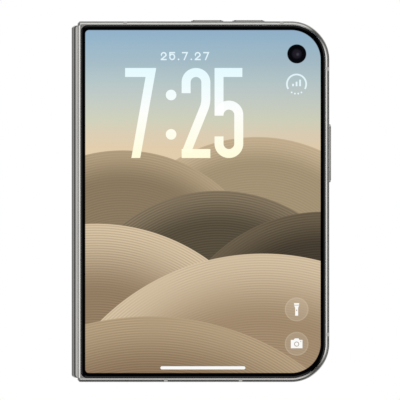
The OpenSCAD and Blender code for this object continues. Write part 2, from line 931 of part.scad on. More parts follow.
module charging_coil() {
    color(brass) rear_half() layer(coil_in, glass_in - glass_fit)
        translate([(room_x + cell_end) / 2, (room_low + low_zone + board_low) / 2]) difference() {
            circle(coil_r);
            circle(coil_r - coil_w);
        }
}

module usb_c_socket() {
    back = wall + 0.1 + usb_depth;
    color(metal) rear_half() translate([usb_u, back, usb_mid]) rotate([90, 0, 0]) difference() {
        linear_extrude(usb_depth) stadium(usb_w, usb_h);
        translate([0, 0, usb_base]) linear_extrude(usb_depth) difference() {
            stadium(usb_w - 2 * usb_wall, usb_h - 2 * usb_wall);
            square(usb_tongue, center = true);
        }
    }
}

module loudspeaker() {
    color(black) rear_half() layer(seat, glass_in - 0.15)
        rounded([usb_u + usb_w / 2 + port_gap, room_low],
            [body_w - corner_r - 2, room_low + low_zone - 1], 1, 1);
}

module haptic_motor() {
    color(metal) rear_half() layer(seat, glass_in - 0.3)
        rounded([room_x, room_low], [usb_u - usb_w / 2 - port_gap, room_low + low_zone - 5], 1, 1);
}

module rear_magnets() {
    rear_half() magnets();
}

module rear_inner_bezel() {
    rear_half() inner_bezel();
}

module inner_display_rear() {
    color(screen) rear_half() layer(display_in, display_in + inner_t) difference() {
        inner_window(0);
        translate([inner_camera_u, inner_camera_v]) circle(inner_camera_r + 0.1);
    }
}

module rear_backing_plate() {
    color(metal) rear_half() difference() {
        backing_plate();
        translate([inner_camera_u, inner_camera_v, -1]) cylinder(r = inner_camera_r + 0.15, h = far);
    }
}

module inner_camera() {
    color(black) rear_half() translate([inner_camera_u, inner_camera_v, 0]) {
        layer(display_in, plate_in) circle(inner_camera_r);
    }
}

module rear_sync_gears() {
    place() sync_gears(180);
}

module rear_arc_rotors() {
    color(bright) place() arc_rotors(rear_slot);
}

module rear_hinge_screws() {
    rear_half() hinge_screws(screw_heights(rear_slot));
}

// Dome switches under the buttons, past the end of their travel
module button_switches() {
    color(brass) rear_half() {
        for (s = [-1, 1]) at_top_edge(volume_u + s * volume_pitch / 2) switch_block(volume_len);
        at_free_edge(power_at) switch_block(power_len);
    }
}

module switch_block(len) {
    translate([0, 0, -switch_drop - switch_t / 2])
        cube([len - 2 * switch_end, switch_w, switch_t], center = true);
}

module bottom_screws() {
    color(metal) rear_half() for (s = [-1, 1])
        translate([usb_u + s * port_screw_at, port_screw_drop, usb_mid]) rotate([-90, 0, 0]) difference() {
            cylinder(r = port_screw_r, h = port_screw_len);
            translate([0, 0, -eps]) cylinder(r = 0.55 * port_screw_r, h = 0.4, $fn = 5);
        }
}

// ---- Buttons ----

// A button: a stadium bar through the wall, with a wider flange behind it
module button(len, rise) {
    color(bright) {
        translate([0, 0, -flange_drop - eps]) linear_extrude(flange_drop + rise + eps - button_bevel)
            stadium(len, button_w);
        translate([0, 0, -flange_drop]) linear_extrude(flange_drop + rise)
            stadium(len - 2 * button_bevel, button_w - 2 * button_bevel);
        translate([0, 0, -flange_drop - flange_t]) linear_extrude(flange_t)
            stadium(len + 2 * flange_end, button_w + 2 * flange_side);
    }
}

module power_button() {
    rear_half() at_free_edge(power_at) button(power_len, power_rise);
}

module volume_up_button() {
    rear_half() at_top_edge(volume_u - volume_pitch / 2) button(volume_len, volume_rise);
}

module volume_down_button() {
    rear_half() at_top_edge(volume_u + volume_pitch / 2) button(volume_len, volume_rise);
}

// ---- Spine ----

module spine_cover() {
    color(bright) place() difference() {
        spine_prism(spine_inset, body_h - spine_inset) intersection() {
            spine_section(0);
            translate([0, -far / 2]) square([tuck_x, far]);
        }
        translate([0, 0, spine_inset - 1]) linear_extrude(body_h) spine_section(cover_wall);
    }
}

module spine_end_caps() {
    color(bright) place() both_ends() difference() {
        union() {
            spine_prism(spine_inset, spine_inset + end_plate_t) cap_section();
            spine_prism(spine_inset, bearing_z + bearing_t) intersection() {
                spine_section(cover_wall + fit);
                translate([0, -far / 2]) square([gear_clear, far]);
            }
        }
        pin_holes();
    }
}

module cap_section() {
    spine_section(cover_wall + fit);
    translate([axis_x - eps, -2 * axis_off]) square([pin_r + eps, 4 * axis_off]);
}

module pin_holes() {
    for (s = [-1, 1]) translate([axis_x, s * axis_off, 0]) cylinder(r = pin_r + glue, h = bearing_z + 5);
}

module hinge_bearing_plates() {
    color(metal) place() both_ends() difference() {
        translate([gear_clear + fit, -2 * axis_off, bearing_z])
            cube([axis_x + pin_r - gear_clear - fit, 4 * axis_off, bearing_t]);
        pin_holes();
    }
}

module hinge_pins() {
    low = spine_inset + stack_gap;
    color(metal) place() both_ends() for (s = [-1, 1]) translate([axis_x, s * axis_off, low])
        cylinder(r = pin_r, h = bearing_z + bearing_t - low);
}

module hinge_bases() {
    color(metal) place() for (z = module_places()) difference() {
        translate([0, 0, z]) linear_extrude(module_len) difference() {
            intersection() {
                spine_section(cover_wall + fit);
                translate([0, -far / 2]) square([axis_x - module_edge, far]);
            }
            translate([fold_x, 0]) circle(fold_r + inner_t / 2 + fold_room);
        }
        translate([0, 0, z + rear_slot]) rotor_slot();
        translate([0, 0, z + front_slot]) front_copy() rotor_slot();
    }
}

// Section of the soft fold, thickness inner_t about its middle line
module inner_display_fold() {
    color(screen) place() translate([0, 0, fold_z]) linear_extrude(body_h - 2 * fold_z) polygon(concat(
        fold_side(inner_t / 2), [for (i = [len(fold_side(0)) - 1:-1:0]) fold_side(-inner_t / 2)[i]]
    ));
}

// One side of the fold's section, d outside its middle line, from the front half round the bend to the rear
function fold_side(d) = concat(
    [[fold_end - fit, -fold_mid - d]],
    arc([lead_x, -fold_mid - fold_lead_r], fold_lead_r - d, 90, 90 + lead_turn, 8),
    arc([fold_x, 0], fold_r + d, 270 + lead_turn, 90 - lead_turn, 28),
    arc([lead_x, fold_mid + fold_lead_r], fold_lead_r - d, 270 - lead_turn, 270, 8),
    [[fold_end - fit, fold_mid + d]]
);

front_frame();
front_antenna_bands();
front_hinge_lip();
cover_glass();
cover_display();
cover_camera();
earpiece();
front_battery();
sub_board();
front_magnets();
front_inner_bezel();
inner_display_front();
front_backing_plate();
front_sync_gears();
front_arc_rotors();
front_hinge_screws();
rear_frame();
rear_antenna_bands();
rear_hinge_lip();
back_glass();
camera_plateau();
lens_rings();
lens_covers();
wide_camera();
ultrawide_camera();
camera_flash();
main_battery();
logic_board();
board_shields();
charging_coil();
usb_c_socket();
loudspeaker();
haptic_motor();
rear_magnets();
rear_inner_bezel();
inner_display_rear();
rear_backing_plate();
inner_camera();
rear_sync_gears();
rear_arc_rotors();
rear_hinge_screws();
button_switches();
bottom_screws();
power_button();
volume_up_button();
volume_down_button();
spine_cover();
spine_end_caps();
hinge_bearing_plates();
hinge_bases();
hinge_pins();
inner_display_fold();
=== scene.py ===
"""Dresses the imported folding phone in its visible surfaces, finishes and studio."""

import math

import bmesh
import bpy
import numpy as np
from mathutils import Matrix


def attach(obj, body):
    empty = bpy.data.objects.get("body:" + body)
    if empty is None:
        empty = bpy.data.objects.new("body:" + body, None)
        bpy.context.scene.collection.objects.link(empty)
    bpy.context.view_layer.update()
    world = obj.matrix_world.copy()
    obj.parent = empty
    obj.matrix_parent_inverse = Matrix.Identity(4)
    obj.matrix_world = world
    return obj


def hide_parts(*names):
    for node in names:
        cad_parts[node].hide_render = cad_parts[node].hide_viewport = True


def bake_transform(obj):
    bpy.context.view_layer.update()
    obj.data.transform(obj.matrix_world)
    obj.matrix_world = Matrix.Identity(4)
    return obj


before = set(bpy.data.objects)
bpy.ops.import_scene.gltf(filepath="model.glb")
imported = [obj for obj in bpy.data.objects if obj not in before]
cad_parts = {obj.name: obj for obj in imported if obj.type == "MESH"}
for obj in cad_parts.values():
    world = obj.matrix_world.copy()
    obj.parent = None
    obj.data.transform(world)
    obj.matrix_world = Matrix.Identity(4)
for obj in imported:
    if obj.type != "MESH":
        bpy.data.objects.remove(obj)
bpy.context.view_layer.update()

bl_info = {
    "name": "Folding phone",
    "version": (1, 0, 0),
    "blender": (4, 5, 0),
    "location": "View3D > Sidebar > Phone",
    "description": "Builds the visible surfaces of a folding phone around its packed model",
    "category": "Object",
}

MM = 0.001

# Edges sharper than this stay sharp (degrees), and the depth of the finishes' bumps (m)
SMOOTH_BELOW = 30
BUMP_DEEP = 0.00002

# How far the body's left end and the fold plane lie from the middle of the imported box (mm)
BOX_X = 43.4
BOX_Y = 1.075


# ---- Settings ----


def length(name, description, default):
    """A length property in metres."""
    return bpy.props.FloatProperty(
        name=name, description=description, default=default, min=0, unit="LENGTH", precision=5)


def tone(name, description, rgb):
    """A colour property from 0 to 255 display values."""
    return bpy.props.FloatVectorProperty(
        name=name, description=description, default=linear(rgb), size=3, min=0, max=1, subtype="COLOR"
    )


def linear(rgb):
    """Display values 0 to 255 as linear light: ((c + 0.055) / 1.055) ** 2.4 above the toe of the curve."""
    c = np.asarray(rgb, float) / 255
    return tuple(float(x) for x in np.where(c <= 0.04045, c / 12.92, ((c + 0.055) / 1.055) ** 2.4))


class PhoneSizes(bpy.types.PropertyGroup):
    """Sizes of the visible surfaces."""

    body_h: length("Body height", "Height of the folded phone", 0.1206)
    body_w: length("Body width", "From the back of the spine to the free edge", 0.0862)
    face_w: length("Half thickness", "From the fold plane to a half's metal face", 0.0047)
    corner_r: length("Corner radius", "Radius of the two corners at the free edge", 0.0128)
    rim: length("Rim", "Width of the metal seen around each glass", 0.0013)
    edge_r: length("Edge radius", "Radius of the rounded metal edge", 0.0014)
    glass_edge_reach: length("Glass edge reach", "How far in from its edge each outer glass eases down", 0.0011)
    glass_edge_drop: length("Glass edge drop", "How much lower each outer glass is at its edge", 0.00015)
    border: length("Border", "Black border between the rim and the lit area", 0.00175)
    stroke: length("Digit stroke", "Stroke width of the clock's digits", 0.003)


class PhoneColours(bpy.types.PropertyGroup):
    """Colours of the finishes."""

    frame_metal: tone("Frame metal", "Blasted metal of the frames", (214, 212, 206))
    spine_metal: tone("Spine metal", "Polished metal of the spine", (220, 219, 206))
    back_glass: tone("Back glass", "Matt glass of the back", (226, 224, 218))
    band: tone("Antenna band", "Plastic of the antenna bands", (200, 199, 193))


# ---- Shapes ----


def size(name):
    """A size in millimetres."""
    return getattr(bpy.context.scene.phone_sizes, name) / MM


def arc(centre, radius, start, end, steps):
    """Points centre + radius (cos a, sin a), with a from start to end in degrees."""
    a = np.radians(np.linspace(start, end, steps + 1))
    return np.column_stack([centre[0] + radius * np.cos(a), centre[1] + radius * np.sin(a)])


def body_outline(inset, left, left_r, steps=28):
    """The body's outline drawn in by inset, from u = left: four arcs joined by straight sides."""
    right, top = size("body_w") - inset, size("body_h") - inset
    r = max(size("corner_r") - inset, 0.05)
    return np.vstack([
        arc((right - r, inset + r), r, -90, 0, steps),
        arc((right - r, top - r), r, 0, 90, steps),
        arc((left + left_r, top - left_r), left_r, 90, 180, 8),
        arc((left + left_r, inset + left_r), left_r, 180, 270, 8),
    ])


def stadium(long, high, centre=(0, 0), steps=20):
    """Two half circles of diameter high joined to the length long."""
    r, half = high / 2, (long - high) / 2
    return np.vstack([
        arc((centre[0] + half, centre[1]), r, -90, 90, steps),
        arc((centre[0] - half, centre[1]), r, 90, 270, steps),
    ])


def on_half(points, w, side):
    """(u, v) points at the distance w from the fold plane, as (x, y, z); side is -1 in front and 1 behind."""
    points = np.asarray(points, float)
    w = np.broadcast_to(w, points.shape[:-1])
    return np.stack([points[..., 0] - BOX_X, side * w - BOX_Y, points[..., 1]], axis=-1)


def at_height(section, v, side=1):
    """(u, w) points of a section at the height v, as (x, y, z)."""
    return np.column_stack([section[:, 0] - BOX_X, side * section[:, 1] - BOX_Y, np.full(len(section), v)])


def on_edge(edge, side, along, w, out):
    """Points along an edge of the body, at the distance w from the fold plane and out beyond the edge."""
    y = side * w - BOX_Y
    if edge == "side":
        return np.column_stack([np.full(len(along), size("body_w") + out - BOX_X), y, along])
    height = size("body_h") + out if edge == "top" else -out
    return np.column_stack([along - BOX_X, y, np.full(len(along), height)])


def loft(rings, closed=False):
    """Quads between neighbouring closed rings of an (m, n, 3) array; ends are capped unless the rings close up."""
    m, n = rings.shape[:2]
    i, j = np.meshgrid(np.arange(m if closed else m - 1), np.arange(n), indexing="ij")
    k = (i + 1) % m
    after = (j + 1) % n
    quads = np.stack([i * n + j, i * n + after, k * n + after, k * n + j], axis=-1).reshape(-1, 4)
    faces = quads.tolist()
    if not closed:
        faces += [list(range(n))[::-1], list(range((m - 1) * n, m * n))]
    return rings.reshape(-1, 3), faces


def carried(section, heights, side=1):
    """A closed (u, w) section carried straight up through heights."""
    return loft(np.stack([at_height(section, v, side) for v in heights]))


def revolve(profile, centre, steps=72):
    """Turns an (r, w) profile about the axis through centre, across the rear face."""
    a = np.radians(np.arange(steps) * 360 / steps)
    r = profile[:, None, 0]
    ring = np.stack([centre[0] + r * np.cos(a), centre[1] + r * np.sin(a)], axis=-1)
    return loft(on_half(ring, profile[:, None, 1], 1), closed=True)


def joined(parts):
    """Several (points, faces) as one."""
    points, faces, offset = [], [], 0
    for p, f in parts:
        points.append(p)
        faces += [[k + offset for k in face] for face in f]
        offset += len(p)
    return np.vstack(points), faces


def fillet(r, top, steps):
    """(inset, height) steps of a rounded edge of radius r that ends at the height top."""
    a = np.radians(np.linspace(0, 90, steps + 1))
    return np.column_stack([r * (1 - np.cos(a)), top - r * (1 - np.sin(a))])


def ribbon(path, width):
    """Outline of a stroke: the path moved by half its width to both sides, with mitred corners."""
    path = np.asarray(path, float)
    along = np.diff(path, axis=0)
    along /= np.linalg.norm(along, axis=1)[:, None]
    normal = np.column_stack([-along[:, 1], along[:, 0]])
    before, after = np.vstack([normal[:1], normal]), np.vstack([normal, normal[-1:]])
    middle = before + after
    middle /= np.linalg.norm(middle, axis=1)[:, None]
    middle /= np.maximum(np.sum(middle * after, axis=1), 0.4)[:, None]
    return path + middle * width / 2, path - middle * width / 2


def flat_plate(outline, low, high, side):
    """A closed plate over an outline, between two heights w, each one number or one for each point."""
    return loft(np.stack([on_half(outline, low, side), on_half(outline, high, side)]))


# ---- Pieces ----


def placed(name, data):
    """A new object in the scene."""
    piece = bpy.data.objects.new(name, data)
    bpy.context.scene.collection.objects.link(piece)
    return piece


def mesh_piece(name, shape, material):
    """A mesh object in metres from points in mm, welded, with faces outwards; material is a name or None."""
    points, faces = shape
    mesh = bpy.data.meshes.new(name)
    mesh.from_pydata((np.asarray(points) * MM).tolist(), [], faces)
    piece = placed(name, mesh)
    tidy_mesh(mesh)
    mesh.materials.append(bpy.data.materials[material] if material else None)
    return piece


def tidy_mesh(mesh, weld=2e-7):
    """Welds doubled points, turns faces outwards and marks edges sharper than an angle."""
    bm = bmesh.new()
    bm.from_mesh(mesh)
    bmesh.ops.remove_doubles(bm, verts=bm.verts, dist=weld)
    bmesh.ops.dissolve_degenerate(bm, edges=bm.edges, dist=weld)
    bmesh.ops.recalc_face_normals(bm, faces=bm.faces)
    bm.to_mesh(mesh)
    bm.free()
    mesh.shade_smooth()
    mesh.set_sharp_from_angle(angle=math.radians(SMOOTH_BELOW))
    mesh.update()


def carve(piece, cutters, operation="DIFFERENCE"):
    """Cuts closed shapes out of a piece, or keeps what they share with it."""
    for cutter in cutters:
        tool = mesh_piece("cutter", cutter, None)
        bpy.context.view_layer.update()
        cut = piece.modifiers.new("cut", "BOOLEAN")
        cut.operation, cut.solver, cut.object = operation, "EXACT", tool
        graph = bpy.context.evaluated_depsgraph_get()
        mesh = bpy.data.meshes.new_from_object(piece.evaluated_get(graph))
        piece.modifiers.clear()
        old, piece.data = piece.data, mesh
        bpy.data.meshes.remove(old)
        bpy.data.objects.remove(tool)
    tidy_mesh(piece.data)
    return piece


def merged_copy(node, name, material):
    """A welded copy of a CAD node's mesh with smooth curves."""
    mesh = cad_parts[node].data.copy()
    mesh.name = name
    piece = placed(name, mesh)
    tidy_mesh(mesh, 1e-6)
    mesh.materials.clear()
    mesh.materials.append(bpy.data.materials[material])
    even = piece.modifiers.new("even_shading", "WEIGHTED_NORMAL")
    even.keep_sharp = True
    even.weight = 100
    return piece


def stand_in(piece, body, slot, *nodes):
    """The piece rides on a body and stands for CAD nodes, which it hides; the slot is not used."""
    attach(piece, body)
    if nodes:
        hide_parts(*nodes)
    return piece


def dress(name, shape, material, body, slot, *nodes):
    """A new mesh piece that rides on a body and may stand for CAD nodes."""
    return stand_in(mesh_piece(name, shape, material), body, slot, *nodes)


# ---- Shader building ----


def wire(tree, kind, inputs=(), out=0, **settings):
    """Adds a shader node, sets or links its inputs, and gives one of its outputs."""
    node = tree.nodes.new("ShaderNode" + kind)
    for key, value in settings.items():
        setattr(node, key, value)
    pairs = inputs.items() if isinstance(inputs, dict) else enumerate(inputs)
    for slot, value in pairs:
        if isinstance(value, bpy.types.NodeSocket):
            tree.links.new(value, node.inputs[slot])
        else:
            node.inputs[slot].default_value = value
    return node.outputs[out] if len(node.outputs) else node


def calc(tree, operation, *values, clamp=False):
    """Result of a Math node."""
    return wire(tree, "Math", values, operation=operation, use_clamp=clamp)


def plus(tree, *values, clamp=False):
    """Sum of two values."""
    return calc(tree, "ADD", *values, clamp=clamp)


def minus(tree, *values):
    """Difference of two values."""
    return calc(tree, "SUBTRACT", *values)


def times(tree, *values):
    """Product of two values."""
    return calc(tree, "MULTIPLY", *values)


def noise(tree, place, scale, detail):
    """A noise from 0 to 1."""
    return wire(tree, "TexNoise", {"Vector": place, "Scale": scale, "Detail": detail})


def dimmed(tree, colour, factor):
    """A colour times a value."""
    return wire(tree, "VectorMath", {0: colour, "Scale": factor}, operation="SCALE")


def ease(tree, value, low, high, to_low=0.0, to_high=1.0):
    """Smooth step of a value between two limits."""
    inputs = {"Value": value, "From Min": low, "From Max": high, "To Min": to_low, "To Max": to_high}
    return wire(tree, "MapRange", inputs, interpolation_type="SMOOTHSTEP")


def mix(tree, factor, a, b):
    """Mixes two colours."""
    rgba = [c if isinstance(c, bpy.types.NodeSocket) else (*c[:3], 1) for c in (a, b)]
    return wire(tree, "Mix", {0: factor, 6: rgba[0], 7: rgba[1]}, out=2, data_type="RGBA")


def place_of(tree):
    """Object coordinates in mm: u, v and the whole place."""
    coordinates = wire(tree, "TexCoord", out="Object")
    in_mm = wire(tree, "VectorMath", {0: coordinates, 1: (1000, 1000, 1000)}, operation="MULTIPLY")
    moved = wire(tree, "VectorMath", {0: in_mm, 1: (BOX_X, BOX_Y, 0)}, operation="ADD")
    u, _, v = wire(tree, "SeparateXYZ", [moved], out=slice(3))
    return u, v, moved


def new_group(name, inputs, outputs):
    """An empty node group with named sockets: each (name, kind, default)."""
    group = bpy.data.node_groups.new(name, "ShaderNodeTree")
    for label, kind, default in inputs:
        socket = group.interface.new_socket(label, in_out="INPUT", socket_type=kind)
        socket.default_value = default
    for label, kind in outputs:
        group.interface.new_socket(label, in_out="OUTPUT", socket_type=kind)
    return group, group.nodes.new("NodeGroupInput").outputs, group.nodes.new("NodeGroupOutput").inputs


def use_group(tree, name, **values):
    """Places a group and sets its inputs, with _ for a blank; gives its outputs."""
    inputs = {label.replace("_", " "): value for label, value in values.items()}
    return wire(tree, "Group", inputs, node_tree=bpy.data.node_groups[name]).node.outputs


def new_material(name):
    """The empty node tree of a new material."""
    material = bpy.data.materials.new(name)
    material.use_nodes = True
    material.node_tree.nodes.clear()
    return material.node_tree


def principled(tree, inputs, grain=None):
    """Ends a material in a Principled shader, whose colour and roughness may come from the grain group."""
    if grain is not None:
        inputs = {"Base Color": grain["Colour"], "Roughness": grain["Roughness"], **inputs}
    shader = wire(tree, "BsdfPrincipled", inputs)
    wire(tree, "OutputMaterial", {"Surface": shader})


def ramp_of(tree, value, stops):
    """Colour of a value on a ramp of (place, linear colour) stops."""
    colour = wire(tree, "ValToRGB", [value])
    points = colour.node.color_ramp.elements
    points.remove(points[-1])
    for k, (place, rgb) in enumerate(stops):
        point = points.new(place) if k else points[0]
        point.position, point.color = place, (*rgb, 1)
    return colour


def grain_group():
    """Fine grain: two noises on Object coordinates shift a colour and a roughness and give a height."""
    group, given, out = new_group("Fine grain", [
        ("Colour", "NodeSocketColor", (0.8, 0.8, 0.8, 1)), ("Roughness", "NodeSocketFloat", 0.3),
        ("Scale", "NodeSocketFloat", 3.0), ("Colour shift", "NodeSocketFloat", 0.06),
        ("Roughness shift", "NodeSocketFloat", 0.05)],
        [("Colour", "NodeSocketColor"), ("Roughness", "NodeSocketFloat"), ("Height", "NodeSocketFloat")])
    place = place_of(group)[2]
    fine = noise(group, place, given["Scale"], 3.0)
    broad = noise(group, place, 0.07, 2.0)
    both = plus(group, times(group, fine, 0.5), times(group, broad, 0.5))
    centred = minus(group, both, 0.5)
    shade = plus(group, times(group, centred, given["Colour shift"]), 1.0)
    group.links.new(dimmed(group, given["Colour"], shade), out["Colour"])
    rough = plus(group, given["Roughness"], times(group, centred, given["Roughness shift"]), clamp=True)
    group.links.new(rough, out["Roughness"])
    group.links.new(fine, out["Height"])


def brush_group():
    """Brushed lines: a noise stretched along one direction."""
    inputs = [("Stretch", "NodeSocketVector", (1, 1, 0.02)), ("Scale", "NodeSocketFloat", 12.0)]
    group, given, out = new_group("Brushed lines", inputs, [("Height", "NodeSocketFloat")])
    place = place_of(group)[2]
    drawn = wire(group, "VectorMath", {0: place, 1: given["Stretch"]}, operation="MULTIPLY")
    lines = noise(group, drawn, given["Scale"], 4.0)
    group.links.new(lines, out["Height"])


def finish(name, colour, roughness, metallic=0.0, scale=3.0, colour_shift=0.08, roughness_shift=0.08, bump=0.02,
           coat=0.0, coat_rough=0.05, ior=1.5, clear=0.0, brushed=None):
    """A material whose colour, roughness and bump come from the grain group; clear is its transmission."""
    tree = new_material(name)
    grain = use_group(tree, "Fine grain", Colour=(*colour[:3], 1), Roughness=roughness, Scale=scale,
                      Colour_shift=colour_shift, Roughness_shift=roughness_shift)
    height = use_group(tree, "Brushed lines", Stretch=brushed)["Height"] if brushed else grain["Height"]
    normal = wire(tree, "Bump", {"Strength": bump, "Distance": BUMP_DEEP, "Height": height})
    principled(tree, {"Metallic": metallic, "IOR": ior, "Transmission Weight": clear, "Coat Weight": coat,
                      "Coat Roughness": coat_rough, "Normal": normal}, grain)


def distance_to(tree, u, v, centre):
    """Distance of the point (u, v) from a centre."""
    squares = [calc(tree, "POWER", minus(tree, value, c), 2) for value, c in zip((u, v), centre)]
    return calc(tree, "SQRT", plus(tree, *squares))


def rounded_mask(tree, u, v, low, high, left_r, right_r, soft):
    """1 inside a rounded rectangle, by the signed distance length(max(q, 0)) + min(max(q), 0) - r.

    q is |p - c| - half + r, with c the middle and half the half sizes."""
    middle = [(low[k] + high[k]) / 2 for k in (0, 1)]
    half = [(high[k] - low[k]) / 2 for k in (0, 1)]
    right = calc(tree, "GREATER_THAN", u, middle[0])
    r = plus(tree, times(tree, right, right_r - left_r), left_r)
    q = []
    for value, m, h in zip((u, v), middle, half):
        away = calc(tree, "ABSOLUTE", minus(tree, value, m))
        q.append(plus(tree, minus(tree, away, h), r))
    over = [calc(tree, "POWER", calc(tree, "MAXIMUM", x, 0.0), 2) for x in q]
    corner = calc(tree, "SQRT", plus(tree, *over))
    inner = calc(tree, "MINIMUM", calc(tree, "MAXIMUM", *q), 0.0)
    return ease(tree, minus(tree, plus(tree, corner, inner), r), soft, -soft)


# Discs of the lit picture, back to front: centre, radius, depth of the fade, colour at the edge and further in, and the
# strength of the fine rings that run round inside it
PICTURE_DISCS = [
    ((62, 30), 52.0, 10.0, (194, 174, 143), (164, 146, 117), 0.05),
    ((17, 27), 50.5, 11.0, (176, 156, 126), (138, 121, 95), 0.06),
    ((49, 12), 52.0, 12.0, (128, 114, 92), (86, 77, 61), 0.12),
    ((84, 4), 53.0, 12.0, (104, 92, 73), (68, 60, 48), 0.12),
    ((8, -12), 65.0, 24.0, (208, 188, 158), (146, 124, 98), 0.1),
    ((64, -34), 77.0, 24.0, (208, 188, 159), (160, 137, 109), 0.07),
    ((26, -66), 88.0, 20.0, (178, 156, 126), (138, 115, 89), 0.09),
]
RING_STEP = 0.85

# The gradient's display colours, from SKY_LOW up to SKY_HIGH
SKY = [(0.0, (225, 204, 172)), (0.125, (218, 205, 180)), (0.24, (207, 208, 187)), (0.355, (198, 204, 193)),
       (0.475, (189, 200, 198)), (0.59, (178, 196, 199)), (0.71, (166, 188, 198)), (0.83, (157, 184, 200)),
       (0.94, (148, 179, 201)), (1.0, (145, 176, 201))]
SKY_LOW, SKY_HIGH = 78.0, 118.0

# The lit area's left side, the dark camera window and the two pale discs under the shortcut symbols
LIT_LEFT = 4.6
CAMERA_AT = (75.3, 109.7)
CAMERA_R = 3.18
SHORTCUT_AT = ((75.25, 24.3), (75.25, 12.8))
SHORTCUT_R = 3.95


def picture_group():
    """The lit picture: a plain gradient with overlapping discs before it, each drawn with fine rings.

    At the depth d inside a disc its colour is scaled by 1 + strength sin(2 pi d / step), stronger in soft patches."""
    group, _, out = new_group("Screen picture", [], [("Colour", "NodeSocketColor")])
    u, v, place = place_of(group)
    colour = ramp_of(group, ease_linear(group, v, SKY_LOW, SKY_HIGH), [(at, linear(rgb)) for at, rgb in SKY])
    broad = minus(group, 1.025, times(group, u, 0.0006))
    colour = dimmed(group, colour, broad)
    patches = noise(group, place, 0.05, 2.0)
    patches = ease(group, patches, 0.34, 0.62, 0.35, 1.5)
    for centre, radius, fade, edge, deep, strength in PICTURE_DISCS:
        depth = minus(group, radius, distance_to(group, u, v, centre))
        body = mix(group, ease(group, depth, 0.0, fade), linear(edge), linear(deep))
        wave = calc(group, "SINE", times(group, depth, 2 * math.pi / RING_STEP))
        drawn = plus(group, times(group, times(group, wave, strength), patches), 1.0)
        body = dimmed(group, body, drawn)
        colour = mix(group, ease(group, depth, 0.0, 0.14), colour, body)
    group.links.new(colour, out["Colour"])


def ease_linear(tree, value, low, high):
    """A value between two limits as 0 to 1."""
    return wire(tree, "MapRange", {"Value": value, "From Min": low, "From Max": high})


def screen_material():
    """Black glass with the lit picture inside its border and a dark camera window, whose flat lens glows with a painted
    reflection and a painted highlight.
    """
    tree = new_material("lit_cover_glass")
    u, v, _ = place_of(tree)
    low = size("rim") + size("border")
    high = (size("body_w") - low + 0.08, size("body_h") - low + 0.09)
    lit = rounded_mask(tree, u, v, (LIT_LEFT, low), high, 1.2, 9.8, 0.09)
    away = distance_to(tree, u, v, CAMERA_AT)
    lit = times(tree, lit, ease(tree, away, CAMERA_R - 0.09, CAMERA_R + 0.09))
    picture = use_group(tree, "Screen picture")["Colour"]
    nearest = calc(tree, "MINIMUM", *[distance_to(tree, u, v, at) for at in SHORTCUT_AT])
    veil = times(tree, ease(tree, nearest, SHORTCUT_R + 0.08, SHORTCUT_R - 0.08), 0.1)
    rim = times(tree, ease(tree, nearest, SHORTCUT_R - 0.55, SHORTCUT_R - 0.1), veil)
    picture = mix(tree, plus(tree, veil, rim), picture, linear((255, 246, 222)))
    # The lens is painted flat. Its lighter violet middle is a painted reflection, and the small pale spot just off its
    # middle is a painted highlight, both given out as glow.
    lens = mix(tree, ease(tree, away, 1.0, 2.0), linear((33, 29, 39)), linear((5, 6, 10)))
    painted_glint_away = distance_to(tree, u, v, (CAMERA_AT[0] + 0.3, CAMERA_AT[1] - 0.15))
    lens = mix(tree, ease(tree, painted_glint_away, 0.15, 0.75), linear((62, 60, 68)), lens)
    dark = mix(tree, ease(tree, away, 3.1, 3.4), lens, (0.0, 0.0, 0.0))
    glow = mix(tree, lit, dark, picture)
    grain = use_group(tree, "Fine grain", Colour=(0.001, 0.001, 0.0014, 1), Roughness=0.025, Scale=0.4,
                      Roughness_shift=0.01)
    principled(tree, {"IOR": 1.5, "Emission Color": glow, "Emission Strength": 1.0}, grain)


def coated_material():
    """Dark lens whose coating turns from violet in the middle to blue green at the rim."""
    tree = new_material("lens_coating")
    u, v, _ = place_of(tree)
    away = calc(tree, "MINIMUM", *[distance_to(tree, u, v, at) for at in LENS_AT])
    colour = mix(tree, ease(tree, away, 0.9, 3.0), (0.16, 0.05, 0.3), (0.02, 0.12, 0.2))
    colour = mix(tree, ease(tree, away, 0.7, 1.5), (0.004, 0.004, 0.01), colour)
    grain = use_group(tree, "Fine grain", Colour=colour, Roughness=0.05, Scale=0.5)
    principled(tree, {"IOR": 1.5, "Coat Weight": 0.5, "Coat Roughness": 0.02}, grain)


def flash_material():
    """Frosted window with a warm lamp behind its middle and fine rings around it."""
    tree = new_material("flash_lens")
    u, v, _ = place_of(tree)
    away = distance_to(tree, u, v, FLASH_AT)
    colour = mix(tree, ease(tree, away, 0.7, 1.5), linear((232, 206, 120)), linear((238, 236, 226)))
    grain = use_group(tree, "Fine grain", Colour=colour, Roughness=0.22, Scale=4.0)
    rings = calc(tree, "SINE", times(tree, away, 24.0))
    normal = wire(tree, "Bump", {"Strength": 0.25, "Distance": BUMP_DEEP, "Height": rings})
    principled(tree, {"Coat Weight": 0.6, "Coat Roughness": 0.05, "Normal": normal}, grain)


def glow_material(name, low_v, high_v, *colours):
    """Lit symbol under glass: colours spread evenly over a range of heights."""
    tree = new_material(name)
    v = place_of(tree)[1]
    stops = [(k / (len(colours) - 1), linear(rgb)) for k, rgb in enumerate(colours)]
    colour = ramp_of(tree, ease_linear(tree, v, low_v, high_v), stops)
    principled(tree, {"Base Color": (0, 0, 0, 1), "Roughness": 0.04, "Emission Color": colour,
                      "Emission Strength": 1.0})


